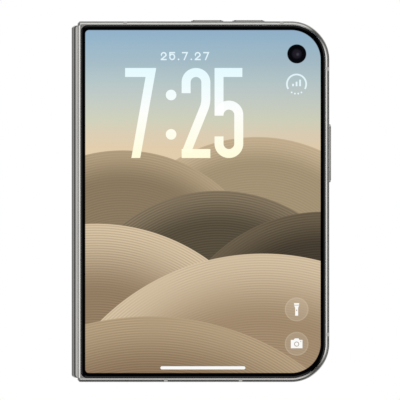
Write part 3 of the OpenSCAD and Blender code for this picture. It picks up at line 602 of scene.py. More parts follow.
class FinishesOperator(bpy.types.Operator):
    """Builds the node groups and the materials of the phone"""

    bl_idname = "phone.finishes"
    bl_label = "Finishes"

    def execute(self, context):
        grain_group()
        brush_group()
        picture_group()
        colours = context.scene.phone_colours
        smooth = {"metallic": 1.0, "scale": 0.8, "colour_shift": 0.04}
        finish("frame_metal", colours.frame_metal, 0.13, roughness_shift=0.05, bump=0.004, **smooth)
        finish("spine_metal", colours.spine_metal, 0.1, roughness_shift=0.04, bump=0.01, brushed=(1, 1, 0.02), **smooth)
        finish("lip_metal", linear((232, 231, 226)), 0.15, bump=0.004, **smooth)
        # The buttons' metal is the frame's metal made darker: painted shade, so the buttons read darker than the rail
        finish("shaded_button_metal", linear((192, 190, 185)), 0.16, bump=0.004, **smooth)
        finish("antenna_plastic", colours.band, 0.42, scale=6, bump=0.1)
        finish("back_glass_matt", colours.back_glass, 0.32, scale=10, bump=0.05, coat=0.3)
        finish("plateau_glass", colours.back_glass, 0.12, scale=3, bump=0.02, coat=0.6)
        finish("lens_ring_metal", linear((206, 204, 198)), 0.16, 1.0, scale=6, bump=0.05)
        finish("lens_black", (0.012, 0.012, 0.014), 0.3, scale=4, bump=0.1)
        finish("black_plastic", (0.02, 0.02, 0.02), 0.5, scale=6, bump=0.2)
        finish("inner_display_glass", (0.008, 0.008, 0.01), 0.08, scale=0.6, coat=0.5)
        finish("fold_film", (0.008, 0.008, 0.01), 0.3, scale=0.6, coat=0.5, coat_rough=0.3)
        finish("steel", (0.55, 0.55, 0.54), 0.3, 1.0, scale=6, bump=0.1, brushed=(1, 1, 0.05))
        finish("battery_foil", (0.03, 0.032, 0.035), 0.4, scale=2, bump=0.3)
        finish("circuit_board", (0.02, 0.09, 0.05), 0.4, scale=2, bump=0.3)
        finish("brass", (0.55, 0.4, 0.18), 0.3, 1.0, scale=6, bump=0.1)
        finish("gear_metal", (0.1, 0.1, 0.105), 0.32, 1.0, scale=6, bump=0.1)
        finish("magnet", (0.5, 0.5, 0.5), 0.25, 1.0, scale=6, bump=0.1)
        finish("lens_glass", (0.9, 0.92, 0.95), 0.01, scale=1, roughness_shift=0.01, ior=1.4, clear=1.0)
        screen_material()
        glow_material("clock_light", CLOCK_LOW, CLOCK_LOW + CLOCK_TALL,
                      (255, 253, 219), (254, 254, 251), (228, 250, 255))
        glow_material("symbol_light", 60, 104, (250, 250, 248), (226, 244, 250))
        glow_material("symbol_line", 4, 30, (150, 138, 118), (168, 154, 130))
        coated_material()
        flash_material()
        keep_nodes()
        return {"FINISHED"}


# The CAD nodes that keep their shape, by finish
NODE_FINISH = {
    "lens_black": ("cover_camera", "inner_camera"),
    "black_plastic": ("earpiece", "front_inner_bezel", "loudspeaker", "rear_inner_bezel"),
    "battery_foil": ("front_battery", "main_battery"),
    "circuit_board": ("sub_board", "logic_board"),
    "magnet": ("front_magnets", "rear_magnets"),
    "inner_display_glass": ("inner_display_front", "inner_display_rear"),
    "steel": (
        "front_backing_plate", "front_arc_rotors", "front_hinge_screws", "board_shields", "usb_c_socket",
        "haptic_motor", "rear_backing_plate", "rear_arc_rotors", "rear_hinge_screws", "bottom_screws",
        "hinge_bearing_plates", "hinge_bases", "hinge_pins"),
    "gear_metal": ("front_sync_gears", "rear_sync_gears"),
    "lit_cover_glass": ("cover_display",),
    "brass": ("charging_coil", "button_switches"),
}


def keep_nodes():
    """Gives each CAD node whose shape stays its procedural finish."""
    for name, nodes in NODE_FINISH.items():
        for node in nodes:
            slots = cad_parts[node].data.materials
            slots.clear()
            slots.append(bpy.data.materials[name])


# ---- Frames ----

HALVES = (("front", "front_half", -1), ("rear", "rear_half", 1))

# A distance w outside both faces of the phone, to which cutters reach
BEYOND = 9.0

# Each half's inner face and its edge radius, its corner radius at the hinge, and the spine's bay in the rim
INNER_W, INNER_EDGE, HINGE_CORNER_R, CHEEK, BAY_X = 0.1, 0.2, 0.95, 1.3, 5.8

# The rim's wall, and the antenna bands with their places on the top and lower rails (u) and the side rail (v)
WALL, BAND_W, BAND_DEEP = 1.9, 1.2, 1.0
BANDS_TOP, BANDS_LOW, BANDS_SIDE = (17.9, 70.3), (31.5, 56.5), (104.7, 15.9)

# The lower rail's openings at the height PORT_W: the charging socket, a screw on each side of it and the sound holes;
# and the earpiece's slot in the top rail
PORT_MID_U, PORT_W, PORT_SIZE = 43.1, 2.50, (8.9, 2.7)
SCREW_OFF, SCREW_R, SOUND_R, EARPIECE_SIZE = 8, 0.88, 0.55, (9, 1)
SOUND_AT = [59.5 + 2.2 * i for i in range(6)] + [28.5 - 2.2 * i for i in range(3)]


def half_rings(steps, side):
    """The body's outline drawn in by s at the distance w from the fold plane, for each (s, w)."""
    return np.stack([on_half(body_outline(s, LIP_LEFT + s, max(HINGE_CORNER_R - s, 0.05), 44), w, side)
                     for s, w in steps])


def rim_ring(side):
    """A half's metal rim: its section carried round the body's outline.

    The section is (distance in from the outline, w): a quarter circle outside, a small one inside and straight runs."""
    r, face = size("edge_r"), size("face_w")
    inner = size("rim") - 0.06
    outer_arc = arc((r, face - r), r, 90, 180, 20)
    small_arc = arc((INNER_EDGE, INNER_W + INNER_EDGE), INNER_EDGE, 180, 270, 5)
    brow = face - r + math.sqrt(r ** 2 - (r - inner) ** 2)
    outer_arc = outer_arc[outer_arc[:, 0] < inner - 0.03]
    section = np.vstack([
        [(inner, GLASS_IN - 0.01), (inner, brow - 0.02), (inner - 0.02, brow)], outer_arc,
        [(0, face - r - 0.06), (0, INNER_W + INNER_EDGE + 0.04)], small_arc,
        [(INNER_EDGE + 0.04, INNER_W), (1.0, INNER_W), (1.0, 0.9), (inner, 0.9)]])
    return loft(half_rings(section, side), closed=True)


def core_blank(side):
    """What lies a hair inside the rim's outer surface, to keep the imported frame's inner walls and plate."""
    r, face, d = size("edge_r"), size("face_w"), 0.03
    steps = np.vstack([[(INNER_EDGE + d, INNER_W + d), (d, INNER_W + INNER_EDGE + d)],
                       arc((r, face - r), r - d, 180, 90, 10)])
    return loft(half_rings(steps, side))


def box_shape(low, high):
    """A closed box between two corners in (u, y, v), y counted from the fold plane."""
    low, high = np.asarray(low, float), np.asarray(high, float)
    corners = np.array([(0, 0), (1, 0), (1, 1), (0, 1)], float)
    return carried(low[:2] + corners * (high - low)[:2], (low[2], high[2]))


def band_boxes(side, grow):
    """Boxes across the rails where the antenna bands sit."""
    w, deep = BAND_W / 2 + grow, BAND_DEEP + grow
    top, right = size("body_h"), size("body_w")
    y = sorted((side * 0.0, side * BEYOND))
    boxes = [box_shape((u - w, y[0], top - deep), (u + w, y[1], top + 2)) for u in BANDS_TOP]
    boxes += [box_shape((u - w, y[0], -2), (u + w, y[1], deep)) for u in BANDS_LOW]
    boxes += [box_shape((right - deep, y[0], v - w), (right + 2, y[1], v + w)) for v in BANDS_SIDE]
    return boxes


def through_edge(outline, edge, side, w, at):
    """A prism through an edge over an outline (along the edge, across it) centred at the place at and height w."""
    along, across = at + outline[:, 0], w + outline[:, 1]
    return loft(np.stack([on_edge(edge, side, along, across, out) for out in (-WALL - 2, 3)]))


def rim_cutters(half, side):
    """What is cut through the rim: the spine's bay, the bands' slots, and the openings of that half."""
    y = sorted((side * -1.0, side * BEYOND))
    cutters = [box_shape((0, y[0], CHEEK), (BAY_X, y[1], size("body_h") - CHEEK))] + band_boxes(side, 0.02)
    if half == "front":
        return cutters + [through_edge(stadium(*EARPIECE_SIZE), "top", side, BUTTON_MID, PORT_MID_U)]
    for _, _, edge, at, long, _ in BUTTONS:
        cutters.append(through_edge(stadium(long + 0.2, BUTTON_W + 0.2), edge, side, BUTTON_MID, at))
    cutters.append(through_edge(stadium(*PORT_SIZE), "low", side, PORT_W, PORT_MID_U))
    holes = [(SOUND_R, u) for u in SOUND_AT] + [(SCREW_R, PORT_MID_U + s * SCREW_OFF) for s in (-1, 1)]
    return cutters + [through_edge(arc((0, 0), r, 0, 345, 23), "low", side, PORT_W, u) for r, u in holes]


def rolling_cutter(side):
    """A prism that clears the rails' inner ends for their roll about the hinge axis."""
    curve = arc((AXIS_X, AXIS_OFF), 0.85, 270, 180, 12)
    section = np.vstack([[(1.0, -1.0), (AXIS_X, -1.0)], curve, [(1.0, AXIS_OFF)]])
    return carried(section, (-1.0, size("body_h") + 1), side)


class FramesOperator(bpy.types.Operator):
    """Builds the metal frame, antenna bands and hinge lip of each half"""

    bl_idname = "phone.frames"
    bl_label = "Frames"

    def execute(self, context):
        for half, body, side in HALVES:
            shell = mesh_piece(f"{half}_frame_shell", rim_ring(side), "frame_metal")
            carve(shell, [joined(rim_cutters(half, side)), rolling_cutter(side)])
            stand_in(shell, body, "frame_metal", f"{half}_frame")
            core = merged_copy(f"{half}_frame", f"{half}_frame_core", "frame_metal")
            stand_in(carve(core, [core_blank(side)], "INTERSECT"), body, "frame_metal")
            bars = mesh_piece(f"{half}_band_bars", rim_ring(side), "antenna_plastic")
            carve(bars, [joined(band_boxes(side, 0.0))], "INTERSECT")
            stand_in(bars, body, "antenna_plastic", f"{half}_antenna_bands")
            lip = joined([lip_shape(half, side), *corner_webs(side)])
            dress(f"{half}_lip_strip", lip, "lip_metal", body, "lip_metal", f"{half}_hinge_lip")
        return {"FINISHED"}


# The hinge lip's sides, its distance from the body's ends, its underside, and its ledge below the glass with that
# ledge's end in each half
LIP_LEFT, LIP_RIGHT, LIP_LOW = 2.0, 3.02, 1.4
LIP_ROOF, LIP_LEDGE, LEDGE_END = 3.9, 4.13, {"front": 4.3, "rear": 5.8}

# The corner plates' underside, their face at the glass's side and at most, and its rise in mm per mm
WEB_ROOF, WEB_FACE, WEB_TOP, WEB_RISE = 4.0, 4.44, 4.66, 0.21

# The outer glass's under side and face, its side at the lip and its corner radius there
GLASS_IN, GLASS_OUT, GLASS_LEFT, GLASS_CORNER_R = 4.15, 4.65, 3.05, 2.3


def corner_webs(side):
    """Small plates that fill the corners between the lip, the rim and the glass's round corner.

    Their face rises away from the spine, so it catches the same light as the lip."""
    left, reach, edge, start = GLASS_LEFT, GLASS_CORNER_R, size("rim"), LIP_RIGHT - 0.05
    curve = arc((left + reach, edge + reach), reach + 0.03, 180, 268, 16)
    parts = []
    for top in (False, True):
        outline = np.vstack([[(start, edge + reach)], curve[1:], [(left + reach, edge - 0.02), (start, edge - 0.02)]])
        if top:
            outline[:, 1] = size("body_h") - outline[:, 1]
        face = np.minimum(WEB_FACE + WEB_RISE * (outline[:, 0] - left), WEB_TOP)
        parts.append(flat_plate(outline, WEB_ROOF, face, side))
    return parts


def lip_shape(half, side):
    """The lip's section, a sloped strip with rounded edges and the ledge under the glass, carried along the spine."""
    end = LEDGE_END[half]
    top, r, r_in, tilt = size("face_w"), 0.72, 0.06, 12
    left = arc((LIP_LEFT + r, 0), r, 180, 90 + tilt, 10)
    right = arc((LIP_RIGHT - r_in, top - r_in), r_in, 90 + tilt, 0, 5)
    left[:, 1] += right[0, 1] - (right[0, 0] - left[-1, 0]) * math.tan(math.radians(tilt)) - left[-1, 1]
    section = np.vstack([[(LIP_LEFT, LIP_ROOF)], left, right,
                         [(LIP_RIGHT, LIP_LEDGE), (end, LIP_LEDGE), (end, LIP_ROOF)]])
    return carried(section, (LIP_LOW, size("body_h") - LIP_LOW), side)


# ---- Glass ----


def glass_slab(side):
    """Stacked outlines: a flat under side, a straight edge, and an upper face that eases down towards the edge.

    At the distance s from the edge the face lies drop (1 - s / reach)^3 lower, after a small rounded arris."""
    reach, drop, arris = size("glass_edge_reach"), size("glass_edge_drop"), 0.08
    s = np.linspace(arris, reach, 12)
    ease_down = np.column_stack([s, GLASS_OUT - drop * (1 - s / reach) ** 3])
    steps = np.vstack([[(0.03, GLASS_IN), (0, GLASS_IN + 0.03)], fillet(arris, ease_down[0, 1], 4)[:-1], ease_down])
    rings = [on_half(body_outline(size("rim") + d, GLASS_LEFT + d, GLASS_CORNER_R), w, side) for d, w in steps]
    return loft(np.stack(rings))


# The camera plateau in the face, its heights w with that of the lens rings, and what stands in it
PLATEAU_AT, PLATEAU_LONG, PLATEAU_HIGH = (55.7, 104.1), 46.0, 18.0
PLATEAU_IN, PLATEAU_OUT, RING_OUT = 3.70, 6.15, 6.85
LENS_AT = ((69.7, 104.1), (52.7, 104.1))
FLASH_AT, FLASH_R, LENS_HOLE_R = (40.7, 104.1), 2.6, 6.5

# The innermost radius of a turned profile, a hair off its axis
ON_AXIS = 0.001


class GlassOperator(bpy.types.Operator):
    """Builds the cover glass and the back glass"""

    bl_idname = "phone.glass"
    bl_label = "Outer glass"

    def execute(self, context):
        dress("cover_glass_slab", glass_slab(-1), "lit_cover_glass", "front_half", "cover_glass", "cover_glass")
        back = mesh_piece("back_glass_slab", glass_slab(1), "back_glass_matt")
        hole = flat_plate(stadium(PLATEAU_LONG + 0.1, PLATEAU_HIGH + 0.1, PLATEAU_AT), 2, 8, 1)
        stand_in(carve(back, [hole]), "rear_half", "back_glass", "back_glass")
        return {"FINISHED"}


def barrel_shapes(at, bore):
    """A camera's square base and its barrel, whose bore steps down in ridges to the front lens."""
    base = flat_plate(stadium(11.4, 11.4, at), 1.15, 3.6, 1)
    depth = np.linspace(0, 1, 9)
    wall_r = 4.75 - (4.75 - bore) * depth
    ridges = np.column_stack([np.repeat(wall_r, 2)[:-1], 6.12 - np.repeat(1.0 * depth, 2)[1:]])
    profile = np.vstack([[(ON_AXIS, 3.61), (5.4, 3.61), (5.4, 6.2), (5.34, 6.26), (4.85, 6.26)], ridges,
                         [(ON_AXIS, 5.12)]])
    return [base, revolve(profile, at)]


def element_shape(at, bore):
    """A camera's front lens: a shallow dome, w falling with the square of the distance from its middle."""
    r = np.linspace(ON_AXIS, bore - 0.05, 14)
    dome = np.column_stack([r, 5.62 - 0.4 * (r / bore) ** 2])
    return revolve(np.vstack([dome, [(bore - 0.05, 5.14), (ON_AXIS, 5.14)]]), at)


def drill(r, at):
    """A cutter of radius r right through the plateau."""
    return revolve(np.array([(ON_AXIS, 3), (r, 3), (r, 8), (ON_AXIS, 8)]), at)


class PlateauOperator(bpy.types.Operator):
    """Builds the camera plateau with its lens rings, lenses and flash"""

    bl_idname = "phone.plateau"
    bl_label = "Camera plateau"

    def execute(self, context):
        flange = [(-0.8, PLATEAU_IN), (-0.8, LIP_LEDGE), (0, LIP_LEDGE)]
        steps = np.vstack([flange, fillet(0.4, PLATEAU_OUT, 8), [(0.46, PLATEAU_OUT)]])
        rings = [on_half(stadium(PLATEAU_LONG - 2 * d, PLATEAU_HIGH - 2 * d, PLATEAU_AT, 32), w, 1) for d, w in steps]
        plateau = mesh_piece("plateau_shell", loft(np.stack(rings)), "plateau_glass")
        holes = [drill(LENS_HOLE_R, at) for at in LENS_AT] + [drill(FLASH_R + 0.05, FLASH_AT)]
        stand_in(carve(plateau, holes), "rear_half", "back_glass", "camera_plateau")
        edge = fillet(0.28, RING_OUT, 6)
        profile = np.vstack([
            [(6.45, 4.65), (6.45, 6.16), (7.0, 6.16)], np.column_stack([7.0 - edge[:, 0], edge[:, 1]]),
            [(6.2, RING_OUT), (5.95, 6.73), (5.95, 6.30), (5.5, 6.30), (5.5, 4.65)]])
        rings = joined([revolve(profile, at) for at in LENS_AT])
        dress("lens_ring_pair", rings, "lens_ring_metal", "rear_half", "lip_metal", "lens_rings")
        cover = np.array([(ON_AXIS, 6.31), (5.85, 6.31), (5.9, 6.36), (5.9, 6.62), (5.8, 6.70), (5.7, 6.71),
                          (ON_AXIS, 6.71)])
        lenses = joined([revolve(cover, at) for at in LENS_AT])
        dress("lens_glass_pair", lenses, "lens_glass", "rear_half", "lens_glass", "lens_covers")
        for node, at, bore in (("wide_camera", LENS_AT[0], 3.6), ("ultrawide_camera", LENS_AT[1], 3.0)):
            dress(f"{node}_barrel", joined(barrel_shapes(at, bore)), "lens_black", "rear_half", "lens_black", node)
            dress(f"{node}_element", element_shape(at, bore), "lens_coating", "rear_half", "lens_glass")
        lamp = np.array([(ON_AXIS, PLATEAU_IN), (FLASH_R, PLATEAU_IN), (FLASH_R, 6.07), (2.52, 6.15), (ON_AXIS, 6.15)])
        dress("flash_window", revolve(lamp, FLASH_AT), "flash_lens", "rear_half", "flash_lens", "camera_flash")
        return {"FINISHED"}


# ---- Spine ----

# The hinge axes at (AXIS_X, +-AXIS_OFF), the cover's radius about them and its mouth, then its round ends and wall
AXIS_X, AXIS_OFF, SPINE_R, TUCK_X = 2.85, 0.95, 2.85, 2.5
SPINE_LOW, SPINE_END_R, END_FULL, COVER_WALL = 1.38, 1.3, 2.5, 0.45


def spine_ring(inset, z, edge, open_wall):
    """The spine's section drawn in by inset and squeezed towards its mouth as a round end asks.

    Two arcs about the hinge axes joined by a flat; at the height t above the end x runs from
    R - (R^p - (R - t)^p)^(1/p), with R the end's radius and p its fullness, where 2 is a circle. open_wall gives
    the cover's wall, and 0 a filled section."""
    r = SPINE_R - inset

    def both_sides(radius):
        """The arc up to the mouth and its mirror image."""
        turn = math.degrees(math.acos(min((AXIS_X - edge) / radius, 1)))
        upper = arc((AXIS_X, AXIS_OFF), radius, 180 - turn, 180, 20)
        return np.vstack([upper, upper[::-1] * (1, -1)])

    outer = both_sides(r)
    if open_wall:
        outer = np.vstack([outer, both_sides(r - open_wall)[::-1]])
    t = min(z - SPINE_LOW, size("body_h") - SPINE_LOW - z, SPINE_END_R)
    start = SPINE_END_R - max(SPINE_END_R ** END_FULL - (SPINE_END_R - t) ** END_FULL, 0) ** (1 / END_FULL)
    outer[:, 0] = start + outer[:, 0] * (TUCK_X - start) / TUCK_X
    return at_height(outer, z)


def end_heights():
    """Heights that follow the round ends in even turns."""
    turn = np.radians(np.linspace(0, 90, 14))
    low = SPINE_LOW + SPINE_END_R * (1 - np.cos(turn))
    return np.concatenate([low, size("body_h") - low[::-1]])


class SpineOperator(bpy.types.Operator):
    """Builds the spine cover, its end caps and the soft fold of the inner display"""

    bl_idname = "phone.spine"
    bl_label = "Spine"

    def execute(self, context):
        cover = loft(np.stack([spine_ring(0, z, TUCK_X, COVER_WALL) for z in end_heights()]))
        dress("spine_cover_shell", cover, "spine_metal", "spine", "spine_metal", "spine_cover")
        caps = [loft(np.stack([spine_ring(COVER_WALL + 0.02, z, AXIS_X - 0.01, 0) for z in heights]))
                for heights in (end_heights()[:9], end_heights()[-9:])]
        dress("spine_end_plugs", joined(caps), "spine_metal", "spine", "spine_metal", "spine_end_caps")
        for half, body, side in HALVES:
            fold = mesh_piece(f"fold_{half}_part", fold_shape(side), "fold_film")
            rear = side > 0
            if rear:
                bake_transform(fold)
            else:
                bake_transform(fold)
            if rear:
                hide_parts("inner_display_fold")
        return {"FINISHED"}


# The inner display's middle w when shut, the radii of its bend and of the lead into it, its thickness and its
# distance from the body's ends; the sheet's length sets where the bend lies
FOLD_MID, FOLD_R, FOLD_LEAD_R, INNER_T, FOLD_LOW = 0.295, 0.8, 2.2, 0.35, 3.3
LEAD_TURN = math.degrees(math.acos((FOLD_MID + FOLD_LEAD_R) / (FOLD_R + FOLD_LEAD_R)))
FOLD_END = 6.05
FOLD_LEAD_X = FOLD_END - (2 * (FOLD_END - AXIS_X + AXIS_OFF) - math.radians(180 + 2 * LEAD_TURN) * FOLD_R
                          - 2 * math.radians(LEAD_TURN) * FOLD_LEAD_R) / 2
FOLD_X = FOLD_LEAD_X - (FOLD_R + FOLD_LEAD_R) * math.sin(math.radians(LEAD_TURN))


def fold_shape(side):
    """Half of the soft fold: a bend about the fold's middle and a counter bend that leads into the flat display."""
    def edge(d):
        """The fold's face moved out by d."""
        bend = arc((FOLD_X, 0), FOLD_R + d, 180, 90 - LEAD_TURN, 24)
        lead = arc((FOLD_LEAD_X, FOLD_MID + FOLD_LEAD_R), FOLD_LEAD_R - d, 270 - LEAD_TURN, 270, 10)
        flat = np.column_stack([np.linspace(FOLD_LEAD_X + 0.2, FOLD_END - 0.02, 6), np.full(6, FOLD_MID + d)])
        return np.vstack([bend, lead[1:], flat])

    section = np.vstack([edge(INNER_T / 2), edge(-INNER_T / 2)[::-1]])
    return carried(section, np.linspace(FOLD_LOW, size("body_h") - FOLD_LOW, 24), side)


# ---- Buttons ----

# Middle and width of the buttons across the rail, the place and width of the volume buttons' dark inserts, which fill
# notches cut across them as painted shade, then each button: piece, node, edge, place along the edge, length and rise
BUTTON_MID, BUTTON_W = 2.40, 2.2
GAP_SHADE_AT, GAP_SHADE_W = 4.5, 0.42
BUTTONS = (
    ("volume_up_cap", "volume_up_button", "top", 45.35, 11.0, 0.45),
    ("volume_down_cap", "volume_down_button", "top", 59.15, 11.0, 0.45),
    ("power_cap", "power_button", "side", 76.5, 19.5, 0.6),
)


def button_shape(edge, at, long, rise):
    """Stadiums stacked along the way out of the body: a flange inside, the bar, and a rounded edge."""
    r, ledge, step_in = 0.14, 0.16, 1.3
    steps = [(long + 1.4, BUTTON_W + 0.3, -2.55), (long + 1.4, BUTTON_W + 0.3, -1.95), (long, BUTTON_W, -1.95),
             (long, BUTTON_W, -0.15), (long - 0.16, BUTTON_W - 0.16, rise - ledge - 0.05),
             (long - 0.26, BUTTON_W - 0.26, rise - ledge)]
    steps += [(long - step_in - 2 * d, BUTTON_W - 0.28 - 2 * d, h)
              for d, h in np.vstack([[(0, rise - ledge)], fillet(r, rise, 6), [(r + 0.05, rise)]])]
    rings = []
    for l, w, h in steps:
        s = stadium(l, w, steps=16)
        rings.append(on_edge(edge, 1, at + s[:, 0], BUTTON_MID + s[:, 1], h))
    return loft(np.stack(rings))


class ButtonsOperator(bpy.types.Operator):
    """Builds the power button and the two volume buttons, whose notches are filled with dark inserts of painted shade
    """

    bl_idname = "phone.buttons"
    bl_label = "Buttons"

    def execute(self, context):
        top = size("body_h")
        for name, node, edge, at, long, rise in BUTTONS:
            shape = button_shape(edge, at, long, rise)
            cap = mesh_piece(name, shape, "shaded_button_metal")
            if edge == "top":
                # The notches across each volume button are filled flush with dark inserts: painted shade that stands
                # for the shadow in a gap
                slots = joined([box_shape((u - GAP_SHADE_W / 2, 0, top - 1), (u + GAP_SHADE_W / 2, BEYOND, top + 2))
                                for u in (at - GAP_SHADE_AT, at + GAP_SHADE_AT)])
                gap_shade = mesh_piece(f"{node}_seals", shape, "black_plastic")
                stand_in(carve(gap_shade, [slots], "INTERSECT"), node, "lens_black")
                carve(cap, [slots])
            stand_in(cap, node, "frame_metal", node)
        return {"FINISHED"}


# ---- Symbols on the lit screen ----

# Heights w of the symbols on the cover glass, and of the fine lines drawn on them
SYMBOL = (GLASS_OUT + 0.002, GLASS_OUT + 0.012)
LINE = (SYMBOL[1], SYMBOL[1] + 0.002)

# The clock's foot and height, then its parts: text, left side, digit width, gap and dot radius
CLOCK_LOW, CLOCK_TALL = 74.9, 30.1
CLOCK = (("7", 17.9, 10.2, 2.5, 1.7), (":", 31.5, 10.2, 2.5, 1.78), ("25", 36.8, 9.6, 1.4, 1.7))

# Where the dots of a colon and a full stop stand, as shares of a digit's height, and the round gauge
DOT_RISE = {":": (0.263, 0.7), ".": (0.0,)}
GAUGE_AT, GAUGE_R = (75.22, 99.6), 3.22

# Outlines of the two halves of the lamp symbol and of the camera symbol
SHORTCUTS = (
    [(74.4, 26.4), (76.1, 26.4), (76.1, 25.8), (74.4, 25.8)],
    [(74.4, 25.6), (76.1, 25.6), (75.75, 24.8), (75.75, 22.2), (74.75, 22.2), (74.75, 24.8)],
    [(73.3, 11.3), (77.2, 11.3), (77.2, 14.1), (76.2, 14.1), (75.9, 14.6), (74.6, 14.6), (74.3, 14.1), (73.3, 14.1)],
)


def symbol(outline, heights=SYMBOL):
    """A closed thin plate over an outline on the cover glass."""
    return flat_plate(outline, *heights, -1)


def symbol_stroke(path, width, heights=SYMBOL):
    """A closed thin plate over a stroke on the cover glass."""
    low, high = heights
    a, b = ribbon(path, width)
    return loft(np.stack([on_half(p, w, -1) for p, w in ((a, low), (b, low), (b, high), (a, high))], axis=1))


def dot(centre, r, heights=SYMBOL, steps=12):
    """A closed thin disc on the cover glass."""
    return symbol(arc(centre, r, 0, 360 - 360 / steps, steps - 1), heights)


def digit_paths(w, h, s):
    """Centre lines of the digits in a box w by h for the stroke s, as arcs and straight runs."""
    m, r = s / 2, (w - s) / 2
    return {
        "7": [np.array([(0, h - m), (w - m * 1.05, h - m), (w * 0.35, -s * 0.15)])],
        "2": [np.vstack([[(m, h * 0.72)], arc((w / 2, h - m - r), r, 180, 0, 24),
                         arc((w - m - h * 0.3, h * 0.66), h * 0.3, 0, -20, 12), [(m * 1.1, m + h * 0.02)]]),
              np.array([(0, m), (w, m)])],
        "5": [np.array([(w - m * 0.2, h - m), (m, h - m), (m, h * 0.47)]),
              np.vstack([arc((w / 2, h * 0.5 - r * 0.2), r, 168, 0, 20), arc((w / 2, m + r), r, 0, -180, 24),
                         [(m, h * 0.24)]])],
    }


def write_digits(text, left, low, w, h, s, gap, dot_r):
    """Plates for a row of digits, cut level at the foot; a colon or a full stop takes a narrow place."""
    parts, at = [], left
    for sign in text:
        if sign in DOT_RISE:
            parts += [dot((at + dot_r, low + (h * k if k else dot_r)), dot_r, steps=30) for k in DOT_RISE[sign]]
            at += 2 * dot_r + gap
            continue
        for path in digit_paths(w, h, s)[sign]:
            points, faces = symbol_stroke(path + (at, low), s)
            points[:, 2] = np.maximum(points[:, 2], low)
            parts.append((points, faces))
        at += w + gap
    return parts


class ScreenOperator(bpy.types.Operator):
    """Builds the clock, the gauge and the shortcut symbols on the lit screen"""

    bl_idname = "phone.screen"
    bl_label = "Screen symbols"

    def execute(self, context):
        clock = []
        for text, left, w, gap, dot_r in CLOCK:
            clock += write_digits(text, left, CLOCK_LOW, w, CLOCK_TALL, size("stroke"), gap, dot_r)
        date = write_digits("25.7.27", 29.8, 107.6, 2.0, 2.75, 0.45, 0.85, 0.28)
        at, r = GAUGE_AT, GAUGE_R
        gauge = [symbol_stroke(arc(at, r, -30, 210, 48), 0.56)]
        gauge += [dot(arc(at, r, a, a, 0)[0], 0.3) for a in (239.5, 260, 280, 300.5)]
        gauge += [symbol(np.array([(x - 0.3, 98.9), (x + 0.3, 98.9), (x + 0.3, top), (x - 0.3, top)]))
                  for x, top in ((74.05, 99.7), (75.22, 100.4), (76.4, 101.1))]
        lines = [symbol_stroke(arc((75.25, 12.7), 0.72, 0, 360, 32), 0.22, LINE),
                 dot((76.65, 13.6), 0.16, LINE), dot((75.25, 24.0), 0.22, LINE)]
        for name, parts, material in (
                ("clock_digits", clock, "clock_light"), ("date_numbers", date, "symbol_light"),
                ("swipe_bar", [symbol(stadium(28.4, 1.05, (43.9, 4.75)))], "symbol_light"),
                ("ring_gauge", gauge, "symbol_light"),
                ("shortcut_symbols", [symbol(np.array(outline)) for outline in SHORTCUTS], "symbol_light"),
                ("symbol_lines", lines, "symbol_line")):
            dress(name, joined(parts), material, "front_half", "display")
        return {"FINISHED"}


# ---- Stage ----

# Light by the turn away from the camera's side, in degrees, as (turn, linear level): from the left, the right, the
# slanted directions, above and below. The first and last levels are the same for all
STUDIO_FIRST, STUDIO_LAST = [(0, 0.004), (5, 0.006)], [(180, 1.0)]
STUDIO = (
    [(10, 0.04), (16, 0.4), (21, 1.0), (30, 0.92), (40, 0.66), (57, 0.62), (61, 0.29), (70, 0.23), (75, 0.07),
     (90, 0.08), (95, 0.39), (112, 0.26), (160, 0.17), (171, 0.9)],
    [(9, 0.02), (14, 0.4), (20, 0.8), (24, 1.0), (50, 1.0), (54, 0.3), (62, 0.17), (82, 0.14), (86, 0.03), (88, 0.7),
     (92, 0.7), (94, 0.02), (134, 0.02), (144, 0.9)],
    [(20, 0.01), (40, 0.03), (60, 0.06), (95, 0.07), (104, 0.2), (120, 0.7), (135, 1.0)],
    [(9, 0.03), (14, 0.38), (40, 0.38), (45, 1.0), (71, 1.0), (76, 0.36), (130, 0.3), (160, 0.28), (172, 1.0)],
    [(9, 0.1), (13, 0.72), (55, 0.72), (59, 0.02), (95, 0.02), (100, 0.2), (132, 0.2), (160, 0.22), (172, 1.0)],
)

# The level that matt surfaces get
SOFT_LEVEL = 0.85

# The floor's half length, and the camera: its distance, the picture's width at the phone, its place and the phone's
# front face, all in metres, with the sensor in millimetres
FLOOR_HALF = 4.0
CAMERA_AWAY, IMAGE_W, SENSOR = 5.0, 0.13372, 36.0
CAMERA_X, CAMERA_Z, FRONT_Y = -0.00046, 0.06086, 0.005775


def seen_as(tree, kind, ahead, other):
    """Ends a tree in what the camera sees and what all other rays meet."""
    seen = wire(tree, "LightPath", out="Is Camera Ray")
    shader = wire(tree, "MixShader", {0: seen, 1: other, 2: ahead})
    wire(tree, f"Output{kind}", {"Surface": shader})


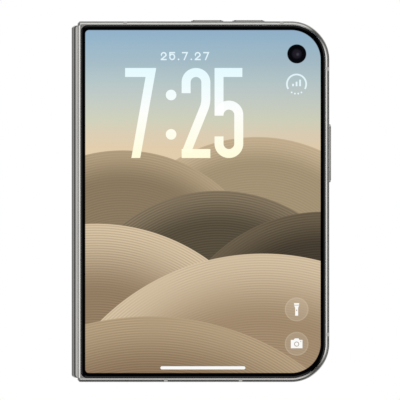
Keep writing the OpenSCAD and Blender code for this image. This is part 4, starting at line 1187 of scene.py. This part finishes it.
class StageOperator(bpy.types.Operator):
    """Builds the floor, the studio light and the camera"""

    bl_idname = "phone.stage"
    bl_label = "Stage"

    def execute(self, context):
        scene = context.scene
        corners = np.array([(-1, -1), (1, -1), (1, 1), (-1, 1)]) * FLOOR_HALF
        mesh = bpy.data.meshes.new("floor")
        mesh.from_pydata([(x, y, 0) for x, y in corners], [], [(0, 1, 2, 3)])
        floor = placed("floor", mesh)
        tree = new_material("pale_floor")
        glow = wire(tree, "Emission", {"Color": (1, 1, 1, 1), "Strength": 1.0})
        seen_as(tree, "Material", glow, wire(tree, "BsdfTransparent"))
        mesh.materials.append(bpy.data.materials["pale_floor"])
        self.light(scene)
        camera = bpy.data.cameras.new("camera")
        camera.lens = SENSOR * CAMERA_AWAY / IMAGE_W
        camera.sensor_width = SENSOR
        camera.clip_start, camera.clip_end = 0.01, 50
        seat = placed("camera", camera)
        seat.location = (CAMERA_X, -CAMERA_AWAY - FRONT_Y, CAMERA_Z)
        seat.rotation_euler = (math.pi / 2, 0, 0)
        scene.camera = seat
        scene.view_settings.view_transform = "Standard"
        return {"FINISHED"}

    def light(self, scene):
        """A world that is white to the camera and a soft ring of light to everything else."""
        world = bpy.data.worlds.new("studio")
        scene.world = world
        world.use_nodes = True
        tree = world.node_tree
        tree.nodes.clear()
        ray = wire(tree, "TexCoord", out="Generated")
        x, y, z = wire(tree, "SeparateXYZ", [ray], out=slice(3))
        turn = calc(tree, "DIVIDE", calc(tree, "ARCCOSINE", times(tree, y, -1.0)), math.pi)
        left, right, corners, top, low = [
            ramp_of(tree, turn, [(angle / 180, (level,) * 3) for angle, level in STUDIO_FIRST + levels + STUDIO_LAST])
            for levels in STUDIO]
        across = calc(tree, "MAXIMUM", distance_to(tree, x, z, (0, 0)), 0.001)
        rise = calc(tree, "DIVIDE", z, across)
        rightward = ease(tree, calc(tree, "DIVIDE", x, across), -0.3, 0.3)
        slanted = ease(tree, calc(tree, "ABSOLUTE", rise), 0.15, 0.7)
        level = mix(tree, slanted, mix(tree, rightward, left, right), corners)
        level = mix(tree, ease(tree, rise, 0.76, 0.96), level, top)
        level = mix(tree, ease(tree, rise, -0.76, -0.96), level, low)
        diffuse = wire(tree, "LightPath", out="Is Diffuse Ray")
        level = mix(tree, diffuse, level, (SOFT_LEVEL,) * 3)
        soft = wire(tree, "Background", {"Color": level, "Strength": 1.0})
        white = wire(tree, "Background", {"Color": (1, 1, 1, 1), "Strength": 1.0})
        seen_as(tree, "World", white, soft)


class PhonePanel(bpy.types.Panel):
    """Lists the steps and settings of the phone"""

    bl_idname = "VIEW3D_PT_phone"
    bl_label = "Folding phone"
    bl_space_type = "VIEW_3D"
    bl_region_type = "UI"
    bl_category = "Phone"

    def draw(self, context):
        for step in STEPS:
            self.layout.operator(step.bl_idname)
        for group in (context.scene.phone_sizes, context.scene.phone_colours):
            for key in group.__annotations__:
                self.layout.prop(group, key)


STEPS = (FinishesOperator, FramesOperator, GlassOperator, PlateauOperator, SpineOperator, ButtonsOperator,
         ScreenOperator, StageOperator)
CLASSES = (PhoneSizes, PhoneColours, *STEPS, PhonePanel)


def register():
    """Adds the classes and the settings."""
    for item in CLASSES:
        bpy.utils.register_class(item)
    bpy.types.Scene.phone_sizes = bpy.props.PointerProperty(type=PhoneSizes)
    bpy.types.Scene.phone_colours = bpy.props.PointerProperty(type=PhoneColours)


def unregister():
    """Takes the settings and the classes away."""
    del bpy.types.Scene.phone_colours
    del bpy.types.Scene.phone_sizes
    for item in reversed(CLASSES):
        bpy.utils.unregister_class(item)


def main():
    """Builds the phone step by step."""
    register()
    for step in STEPS:
        group, name = step.bl_idname.split(".")
        getattr(getattr(bpy.ops, group), name)()


if __name__ == "__main__":
    main()
